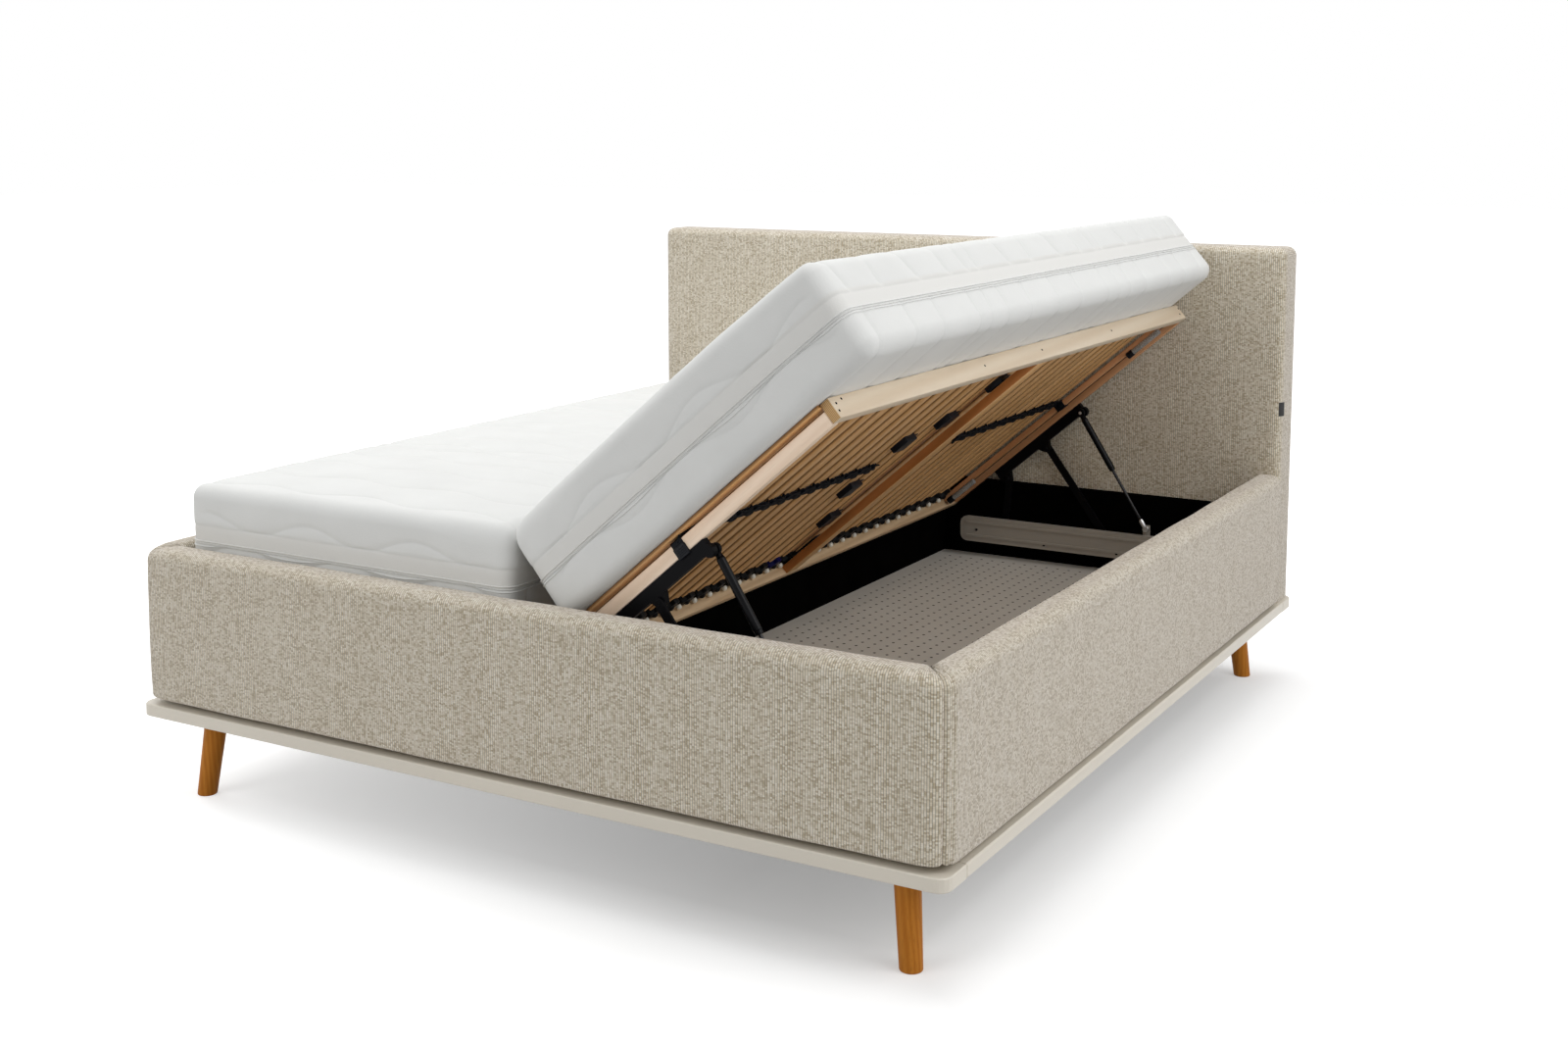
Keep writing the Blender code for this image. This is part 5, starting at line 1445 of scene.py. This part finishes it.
# %% Tree for bands along a path
def make_band_tree():
    tree, given, result = growing_tree("band_along_path", {"Width": "Float", "Thickness": "Float",
                                                           "Material": "Material"})
    tilt = add(tree, "GeometryNodeInputNamedAttribute", {"Name": "tilt"}, data_type="FLOAT")
    path = add(tree, "GeometryNodeMeshToCurve", {"Mesh": given["Geometry"]})
    tilted = add(tree, "GeometryNodeSetCurveTilt",
                 {"Curve": path.outputs[0], "Tilt": tilt.outputs[0]})
    corner = math_node(tree, "MULTIPLY", given["Thickness"], 0.45)
    swept = rounded_bar(tree, given, tilted.outputs[0], 2, corner)
    smooth = add(tree, "GeometryNodeSetShadeSmooth", {"Geometry": swept})
    return paint_and_end(tree, given, result, smooth.outputs[0])


BAND = make_band_tree()


def band(name, path, width, thickness, material, tilts=None, closed=False):
    """Sweep a flat band along a path of points."""
    count = len(path)
    edges = [(step, step + 1) for step in range(count - 1)] + ([(count - 1, 0)] if closed else [])
    line = bpy.data.meshes.new("path")
    line.from_pydata([tuple(point) for point in path], edges, [])
    tilt = line.attributes.new("tilt", "FLOAT", "POINT")
    tilt.data.foreach_set("value", tilts if tilts is not None else [0.0] * count)
    mesh = grow(BAND, name, {"Width": width, "Thickness": thickness, "Material": material}, line)
    face_outwards(mesh, weld=1e-6)
    return mesh


print("Tree ready:", BAND.name)

# %% Strap, buckle and tubes
STRAP_X, STRAP_LEVEL = 0.490, slat_high.z - SLAT_THICK - 0.0040
STRAP_TWIST, STRAP_HALF, WRAP_HALF = 0.55, 0.014, 0.0014
# width and thickness of the band, of its narrow second layer and of the tail
STRAP_BAND, STRAP_BACK, STRAP_TAIL = (0.026, 0.0034), (0.020, 0.0030), (0.014, 0.0030)
BUCKLE_X, BUCKLE_HALF, RIB_HALF, RIB_PITCH = 0.465, 0.015, 0.012, 0.0042
STRAP_RUNS = ((-0.962, -0.205), (0.215, 0.882))
TUBE_RUNS, TUBE_Y, TUBE_Z = ((0.742, 0.842), (0.060, 0.150)), 0.881, 0.4440
TUBE, TUBE_CAP = 0.0075, 0.009
bar_low, bar_high = foot_bar


def woven_runs():
    """Two thin bands that twist against each other between the slats."""
    for start, end in STRAP_RUNS:
        steps = np.linspace(start, end, int((end - start) / 0.006))
        phase = 2 * np.pi * (steps - FIRST_SLAT) / SLAT_PITCH
        path = [(STRAP_X + 0.0035 * math.sin(turn), y, STRAP_LEVEL - 0.0012 * math.cos(2 * turn))
                for y, turn in zip(steps, phase)]
        yield band("strap", path, *STRAP_BAND, STRAP, list(STRAP_TWIST * np.sin(phase)))
        path = [(x - 0.002, y, z - 0.0006) for x, y, z in path]
        yield band("strap", path, *STRAP_BACK, STRAP, list(-STRAP_TWIST * np.sin(phase)))


def bar_wraps():
    """Four flat pieces round a bar, where the strap is slung round it."""
    for x, low_y, high_y, low_z in ((BUCKLE_X, bar_low.y, bar_high.y, bar_low.z),
                                    (STRAP_X, *SECOND_BAR, bar_low.z + SECOND_BAR_RISE)):
        near, far = low_y - WRAP_HALF, high_y + WRAP_HALF
        under, over = low_z - WRAP_HALF, bar_high.z + 0.0016
        loop = [(x, near, under), (x, far, under), (x, far, over), (x, near, over)]
        sizes = (STRAP_HALF, WRAP_HALF, WRAP_HALF)
        for first, second in zip(loop, loop[1:] + loop[:1]):
            low = [min(a, b) - size for a, b, size in zip(first, second, sizes)]
            high = [max(a, b) + size for a, b, size in zip(first, second, sizes)]
            yield plank("wrap", low, high, 0.0008, 2)


def buckle_parts():
    y, z = bar_low.y - WRAP_HALF, bar_low.z - WRAP_HALF
    yield plank("buckle", (BUCKLE_X - BUCKLE_HALF, y - 0.0045, z - 0.0040),
                (BUCKLE_X + BUCKLE_HALF, y + 0.010, z + 0.021), 0.0028)
    for step in range(4):
        foot = z + RIB_PITCH * step
        yield plank("rib", (BUCKLE_X - RIB_HALF, y - 0.0058, foot + 0.001),
                    (BUCKLE_X + RIB_HALF, y - 0.0035, foot + 0.0032), 0.0007, 2)


def painted_all(meshes, material):
    meshes = list(meshes)
    for mesh in meshes:
        mesh.materials.append(material)
    return meshes


def strap_mesh():
    tail = [(BUCKLE_X + 0.002, bar_low.y + 0.0020, bar_high.z - 0.004),
            (BUCKLE_X + 0.012, bar_low.y + 0.0030, bar_high.z + 0.003),
            (STRAP_X - 0.014, bar_low.y + 0.004, bar_high.z + 0.0045),
            (STRAP_X, bar_low.y + 0.016, bar_high.z + 0.0035)]
    return joined("strap", [*woven_runs(), *painted_all(bar_wraps(), STRAP),
                            band("tail", tail, *STRAP_TAIL, STRAP),
                            *painted_all(buckle_parts(), BLACK_PLASTIC)])


for side in SIDES:
    settle("slat_strap", strap_mesh(), STRAP, side, "slat_frame")
    tubes = []
    for start, end in TUBE_RUNS:
        place = along((1, 0, 0), (start, TUBE_Y, TUBE_Z))
        tubes += [turned([(TUBE, 0), (TUBE, end - start)], 0.002, 28, CLEAR_TUBE, place),
                  turned([(TUBE_CAP, -0.012), (TUBE_CAP, 0.008)], 0.002, 28, BLACK_PLASTIC, place)]
    settle("spacer_tubes", joined("spacer_tubes", tubes), CLEAR_TUBE, side, "slat_frame")
print("Strap lies at", STRAP_X)

# %% Screws in the outer rail
RAIL_SCREWS = ((-0.972, 0.449), (-0.966, 0.464), (-0.940, 0.470), (-0.330, 0.457), (-0.02, 0.457),
               (0.420, 0.457), (0.925, 0.450), (0.944, 0.466))
RAIL_SCREW = (0.0026, 0.0008)
places = [(rail_high.x, y, z) for y, z in RAIL_SCREWS]
for side in SIDES:
    mesh = set_on_points("rail_screws", hollow_screw(*RAIL_SCREW), BLACK_STEEL, places,
                         [(1, 0, 0)] * len(places), turn=0.8, seed=7)
    settle("rail_screws", mesh, BLACK_STEEL, side, "slat_frame")
print("Screws in each outer rail:", len(places))

# %% [markdown]
# ## Mattresses
# Each half carries a foam mattress in a white knitted cover. The cover is quilted in waves that
# run across the top and down the sides. A plain band runs round the middle, between a seam and
# a zip. A regular mesh would blur such lines, so the surface is laid out on lines that are bent to
# follow every wave. The surface is rounded first, and then pressed in along the lines.

# %% Sizes of the quilting
MATTRESS_LOW, MATTRESS_HIGH = closed_box("mattress")
CROWN, PUFFED = 0.012, 0.006
TOP_LEVEL = MATTRESS_HIGH.z - CROWN + PUFFED
# heights above the hem: the quilting below the zip, the zip, the seam, the quilting above it
BASE_LOWER, ZIP_LEVEL, SEAM_LEVEL, BASE_UPPER = 0.073, 0.090, 0.130, 0.148
WAVE_HEIGHT, WAVE_LENGTH = 0.8 * 0.018, 0.28
# each quilting line: metres from the foot at the top edge, seam, zip and hem, then its crest's x
WAVE_ROWS = (
    (0.052, 0.068, 0.060, 0.050, 0.155), (0.200, 0.190, 0.215, 0.195, 0.02),
    (0.325, 0.352, 0.335, 0.315, 0.20), (0.478, 0.485, 0.495, 0.480, 0.06),
    (0.565, 0.575, 0.565, 0.535, 0.25), (0.630, 0.622, 0.640, 0.620, 0.11),
    (0.765, 0.785, 0.765, 0.735, 0.00), (0.910, 0.900, 0.910, 0.890, 0.17),
    (1.040, 1.070, 1.045, 1.020, 0.05), (1.195, 1.190, 1.205, 1.190, 0.23),
    (1.270, 1.285, 1.275, 1.265, 0.12), (1.330, 1.320, 1.350, 1.335, 0.02),
    (1.465, 1.495, 1.460, 1.445, 0.19), (1.620, 1.610, 1.640, 1.625, 0.08),
    (1.755, 1.745, 1.750, 1.740, 0.24), (1.880, 1.870, 1.885, 1.865, 0.13))


def upper_wave(x):
    """Height of the wave that rises and falls above the seam on the ends."""
    return 0.143 + 0.017 * np.cos(2 * np.pi * (x - 0.245) / 0.295)


def lower_wave(x):
    """Height of the wave below the zip on the ends."""
    return 0.079 + 0.014 * np.cos(2 * np.pi * (x - 0.150) / 0.292)


print("Quilting lines:", len(WAVE_ROWS))


# %% Lines of the surface grid
LEAST_GAP = 0.0019


def near(places, offsets, low, high, widest):
    """Lines at some places and close beside them, and others so that no gap is too wide."""
    lines = sorted({round(place + offset, 5) for place in places for offset in offsets
                    if low < place + offset < high})
    kept, filled = [low], []
    for line in lines:
        if line - kept[-1] > LEAST_GAP:
            kept.append(line)
    kept.append(high)
    for first, second in zip(kept, kept[1:]):
        parts = max(1, math.ceil((second - first) / widest))
        filled += [first + (second - first) * step / parts for step in range(parts)]
    return filled[1:]


def with_roundings(core, steps):
    """(zone, value) of each line: rounded zones hold shares of a radius, the core holds places."""
    turns = [1 - math.tan(math.radians(45) * (1 - step / steps)) for step in range(steps + 1)]
    return [*((-1, turn) for turn in turns), *((0, line) for line in core),
            *((1, turn) for turn in reversed(turns))]


base_rows = [MATTRESS_LOW.y + sum(row[:4]) / 4 for row in WAVE_ROWS]
base_levels = [MATTRESS_LOW.z + level for level in (BASE_LOWER, ZIP_LEVEL, SEAM_LEVEL, BASE_UPPER)]
along_lines = with_roundings(near(base_rows, (-0.013, -0.006, -0.0025, 0, 0.0025, 0.006, 0.013),
                                  MATTRESS_LOW.y + 0.031, MATTRESS_HIGH.y - 0.031, 0.020), 6)
across_lines = with_roundings(near((), (), MATTRESS_LOW.x + 0.046, MATTRESS_HIGH.x - 0.033,
                                   0.011), 7)
height_lines = with_roundings(near(base_levels, (-0.0055, -0.0025, 0, 0.0025, 0.0055),
                                   MATTRESS_LOW.z + 0.033, TOP_LEVEL - 0.046, 0.008), 7)
print("Grid lines:", len(across_lines), len(along_lines), len(height_lines))


# %% Surface of a mattress
END_RADIUS, EDGE_RADIUS = 0.030, 0.032
# towards the top the inner edge gets rounder and the outer one a little sharper
INNER_EXTRA, OUTER_EXTRA, TOP_EXTRA = 0.013, -0.002, 0.015
# the waves on the ends fade out between these places across
END_FADES = ((0.05, 0.09), (0.825, 0.855))


def ramp_up(value, low, high):
    """0 below low, 1 above high, with a smooth rise in between."""
    share = np.clip((value - low) / (high - low), 0, 1)
    return share * share * (3 - 2 * share)


def row_places(x, level):
    """Where each quilting line runs along the bed, for places across and heights above the hem."""
    levels = (0.0, ZIP_LEVEL, SEAM_LEVEL, TOP_LEVEL - MATTRESS_LOW.z)
    rows = []
    for *row, crest in WAVE_ROWS:
        side = np.interp(level, levels, row[::-1])
        wave, at_edge = (np.cos(2 * np.pi * (place - crest) / WAVE_LENGTH)
                         for place in (x, MATTRESS_HIGH.x))
        wave = WAVE_HEIGHT * (wave - at_edge) * ramp_up(level, SEAM_LEVEL, 0.20)
        rows.append(MATTRESS_LOW.y + side + wave)
    return np.clip(rows, MATTRESS_LOW.y + 0.033, MATTRESS_HIGH.y - 0.033)


def mattress_surface():
    """Points of a mattress drawn closed on the right, their numbers in the grid, and how each of
    them faces."""
    counts = len(across_lines), len(along_lines), len(height_lines)
    index = -np.ones(counts, int)
    inside = np.zeros(counts, bool)
    inside[1:-1, 1:-1, 1:-1] = True
    i, j, k = np.nonzero(~inside)
    index[i, j, k] = np.arange(len(i))
    (zone_x, value_x), (zone_y, value_y), (zone_z, value_z) = (
        np.array(lines)[numbers].T for lines, numbers in
        ((across_lines, i), (along_lines, j), (height_lines, k)))
    low, high = np.array(MATTRESS_LOW), np.array((MATTRESS_HIGH.x, MATTRESS_HIGH.y, TOP_LEVEL))
    lift = np.where(zone_z == 0, (value_z - low[2]) / (high[2] - low[2]), (zone_z + 1) / 2)
    lift = ramp_up(lift, 0.2, 0.8)
    radius_x = EDGE_RADIUS + np.where(zone_x < 0, INNER_EXTRA, OUTER_EXTRA) * lift
    inner = np.where(zone_x == 0, 1 - ramp_up(value_x, 0.10, 0.22), (zone_x < 0) * 1.0)
    radius_z = np.where(zone_z > 0, END_RADIUS + TOP_EXTRA * inner, EDGE_RADIUS)
    radius = np.stack([radius_x, np.full(len(i), END_RADIUS), radius_z], 1)

    def spot(zone, value, axis):
        return np.where(zone < 0, low[axis] + radius[:, axis] * value,
                        np.where(zone > 0, high[axis] - radius[:, axis] * value, value))

    def bend(values, marks, moved):
        """Carry values between marks along to where each of the marks moves."""
        marks = np.array(marks)
        moved = np.stack([np.broadcast_to(mark, len(i)) for mark in moved])
        step = np.clip(np.searchsorted(marks, values, side="right") - 1, 0, len(marks) - 2)
        share = np.clip((values - marks[step]) / (marks[step + 1] - marks[step]), 0, 1)
        column = np.arange(len(i))
        return moved[step, column] * (1 - share) + moved[step + 1, column] * share

    place = np.stack([spot(*line, axis) for axis, line in enumerate(
        ((zone_x, value_x), (zone_y, value_y), (zone_z, value_z)))], 1)
    x, level = place[:, 0], place[:, 2] - low[2]
    first, last = low[1] + END_RADIUS, high[1] - END_RADIUS
    bent_y = bend(value_y, [first, *base_rows, last], [first, *row_places(x, level), last])
    place[:, 1] = np.where(zone_y == 0, bent_y, place[:, 1])
    on_end = (j == 0) | (j == counts[1] - 1)
    fade = ramp_up(x, *END_FADES[0]) * (1 - ramp_up(x, *END_FADES[1])) * on_end
    first, last = 0.034, TOP_LEVEL - low[2] - 0.046
    lower = np.minimum(lower_wave(x), ZIP_LEVEL - 0.006)
    upper = np.maximum(upper_wave(x), SEAM_LEVEL + 0.006)
    bent_z = low[2] + bend(level, [first, BASE_LOWER, ZIP_LEVEL, SEAM_LEVEL, BASE_UPPER, last],
                           [first, lower, ZIP_LEVEL, SEAM_LEVEL, upper, last])
    place[:, 2] = np.where(zone_z == 0, place[:, 2] + (bent_z - place[:, 2]) * fade, place[:, 2])
    core = np.clip(place, low + radius, high - radius)
    reach = (place - core) / radius
    reach /= np.linalg.norm(reach, axis=1, keepdims=True)
    points = core + radius * reach
    width = np.clip((points[:, 0] - low[0]) / (high[0] - low[0]), 0, 1)
    length = np.abs((points[:, 1] - low[1]) / (high[1] - low[1]) * 2 - 1)
    crown = CROWN * 4 * width * (1 - width) * (1 - length ** 8)
    points[:, 2] += crown * ramp_up(reach[:, 2], 0.0, 1.0)
    return points, index, reach


def grid_faces(index):
    """Quads of the six sides of a block of numbered points, all facing outwards."""
    faces = []
    for layer, flip in ((index[0], True), (index[-1], False), (index[:, 0], False),
                        (index[:, -1], True), (index[:, :, 0], True), (index[:, :, -1], False)):
        quads = np.stack([layer[:-1, :-1], layer[1:, :-1], layer[1:, 1:], layer[:-1, 1:]], -1)
        quads = quads.reshape(-1, 4)
        faces += (quads[:, ::-1] if flip else quads).tolist()
    return faces


def groove(distance, depth, width, power=1.3):
    """Depth of a groove at a distance from its line."""
    return depth * np.exp(-(np.abs(distance) / width) ** power)


BAND_DEPTH, PUFF_DEPTH = 0.0012, 0.0011
ROW_DEPTH, WAVE_DEPTH, SEAM_DEPTH, CREASE_SHADE_WIDTH = 0.0036, 0.0032, 0.0014, 0.0018


def quilted(name):
    """A mattress mesh that is pressed in along its quilting lines, seams and zip."""
    points, index, reach = mattress_surface()
    mesh = new_mesh(name, points, grid_faces(index))
    normals = np.empty(len(points) * 3, np.float32)
    mesh.vertex_normals.foreach_get("vector", normals)
    normals = normals.reshape(-1, 3)
    height = points[:, 2] - MATTRESS_LOW.z
    rows = row_places(points[:, 0], np.where(reach[:, 2] > 0.5, 1, height))
    to_row = np.abs(points[:, 1] - rows).min(axis=0)
    quilt = np.maximum(ramp_up(height, SEAM_LEVEL, SEAM_LEVEL + 0.008),
                       1 - ramp_up(height, ZIP_LEVEL - 0.008, ZIP_LEVEL))
    body = quilt * (1 - np.clip(np.abs(reach[:, 1]) * 1.6, 0, 1))
    flank = np.sqrt(np.clip(1 - reach[:, 2] ** 2, 0, 1))
    ends = ramp_up(np.abs(reach[:, 1]), 0.75, 0.95) * ramp_up(points[:, 0], 0.05, 0.08)
    ends *= 1 - ramp_up(points[:, 0], 0.835, 0.855)
    waves = ((upper_wave, ends * (height > SEAM_LEVEL)), (lower_wave, ends * (height < ZIP_LEVEL)))
    band_rise = ramp_up(height, ZIP_LEVEL, ZIP_LEVEL + 0.012)
    band_fall = 1 - ramp_up(height, SEAM_LEVEL - 0.004, SEAM_LEVEL + 0.004)
    press = groove(to_row, ROW_DEPTH, 0.008) * body + band_rise * band_fall * flank * BAND_DEPTH
    for level, wide in ((SEAM_LEVEL, 0.0035), (ZIP_LEVEL, 0.0060)):
        press += groove(height - level, SEAM_DEPTH, wide) * flank
    for wave, shown in waves:
        press += groove(height - wave(points[:, 0]), WAVE_DEPTH, 0.0065) * shown
    puff = np.array([noise.noise(Vector(point) * 9.0) for point in points]) * PUFF_DEPTH
    points = points - normals * (press - puff)[:, None]
    mesh.vertices.foreach_set("co", points.astype(np.float32).ravel())
    # painted shade along the stitched lines, seam and zip, kept in the seam attribute for the cover
    # to darken
    crease_shade = groove(to_row, 1.0, CREASE_SHADE_WIDTH, 2) * body
    for level, wide in ((SEAM_LEVEL, 0.002), (ZIP_LEVEL, 0.003)):
        crease_shade += groove(height - level, 1.0, wide, 2) * flank
    for wave, shown in waves:
        crease_shade += groove(height - wave(points[:, 0]), 1.0, CREASE_SHADE_WIDTH, 2) * shown
    seam = mesh.attributes.new("seam", "FLOAT", "POINT")
    seam.data.foreach_set("value", np.clip(crease_shade, 0, 1).astype(np.float32))
    mesh.update()
    return mesh, index, points


# %% Dress both halves
mattress_mesh, mattress_index, mattress_points = quilted("quilted_mattress")
print("Mattress:", len(mattress_mesh.polygons), "faces")
RAISED_SAG, RAISED_SWELL, SAG_START = 0.013, 0.003, 0.45


def sagged(mesh):
    """Let the raised half's foam slide down a little: thinner at the outer edge, fuller inside."""
    for vert in mesh.vertices:
        across = min(max((vert.co.x - SAG_START) / (MATTRESS_HIGH.x - SAG_START), 0), 1)
        inwards = 1 - min(max(vert.co.x / SAG_START, 0), 1) ** 2
        upwards = (vert.co.z - MATTRESS_LOW.z) / (TOP_LEVEL - MATTRESS_LOW.z)
        vert.co.z -= (RAISED_SAG * across ** 2 - RAISED_SWELL * inwards) * max(upwards, 0)


for side in SIDES:
    mesh = mattress_mesh.copy()
    if side == "right":
        sagged(mesh)
    mattress = settle("quilted_mattress", mesh, TICKING, side, "lift")
    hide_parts(f"{side}_mattress")

# %% [markdown]
# ## Zip and piping
# The zip runs right round the mattress under a thin piping. Its path is the grid line of the
# zip on the finished surface, so it follows every rounding and puff.

# %% Zip on each mattress
def zip_line(row):
    """Points of one grid line right round the mattress."""
    ring = [mattress_index[0, j, row] for j in range(len(along_lines))]
    ring += [mattress_index[i, -1, row] for i in range(1, len(across_lines))]
    ring += [mattress_index[-1, j, row] for j in range(len(along_lines) - 2, -1, -1)]
    ring += [mattress_index[i, 0, row] for i in range(len(across_lines) - 2, 0, -1)]
    return ring


def nearest_line(level):
    """Number of the grid line that runs nearest to a height above the hem."""
    core = [number for number, (zone, _) in enumerate(height_lines) if zone == 0]
    return min(core, key=lambda number: abs(height_lines[number][1] - MATTRESS_LOW.z - level))


middle = (MATTRESS_LOW + MATTRESS_HIGH) / 2
# name, height above the hem, how far it stands out, width, finish
TRIMS = (("zip_tape", ZIP_LEVEL, 0.0002, 0.0034, ZIP_TAPE),
         ("zip_piping", ZIP_LEVEL + 0.0055, 0.0006, 0.0036, TICKING),
         ("hem_piping", ZIP_LEVEL - 0.0055, 0.0006, 0.0036, TICKING))
TRIM_THICK, TRIM_STEP, LONGER_THAN_WIDE = 0.0022, 0.002, 2.2
for label, level, out, width, finish in TRIMS:
    path = []
    for number in zip_line(nearest_line(level)):
        point = Vector(mattress_points[number])
        away = Vector((point.x - middle.x, (point.y - middle.y) / LONGER_THAN_WIDE, 0))
        away.normalize()
        if not path or (point - path[-1]).length > TRIM_STEP:
            path.append(point + away * out)
    mesh = band(label, path, width, TRIM_THICK, finish, closed=True)
    mesh.attributes.new("seam", "FLOAT", "POINT")
    for side in SIDES:
        copy = mesh.copy()
        if side == "right":
            sagged(copy)
        settle(label, copy, finish, side, "lift")
    print(label, "points:", len(path))
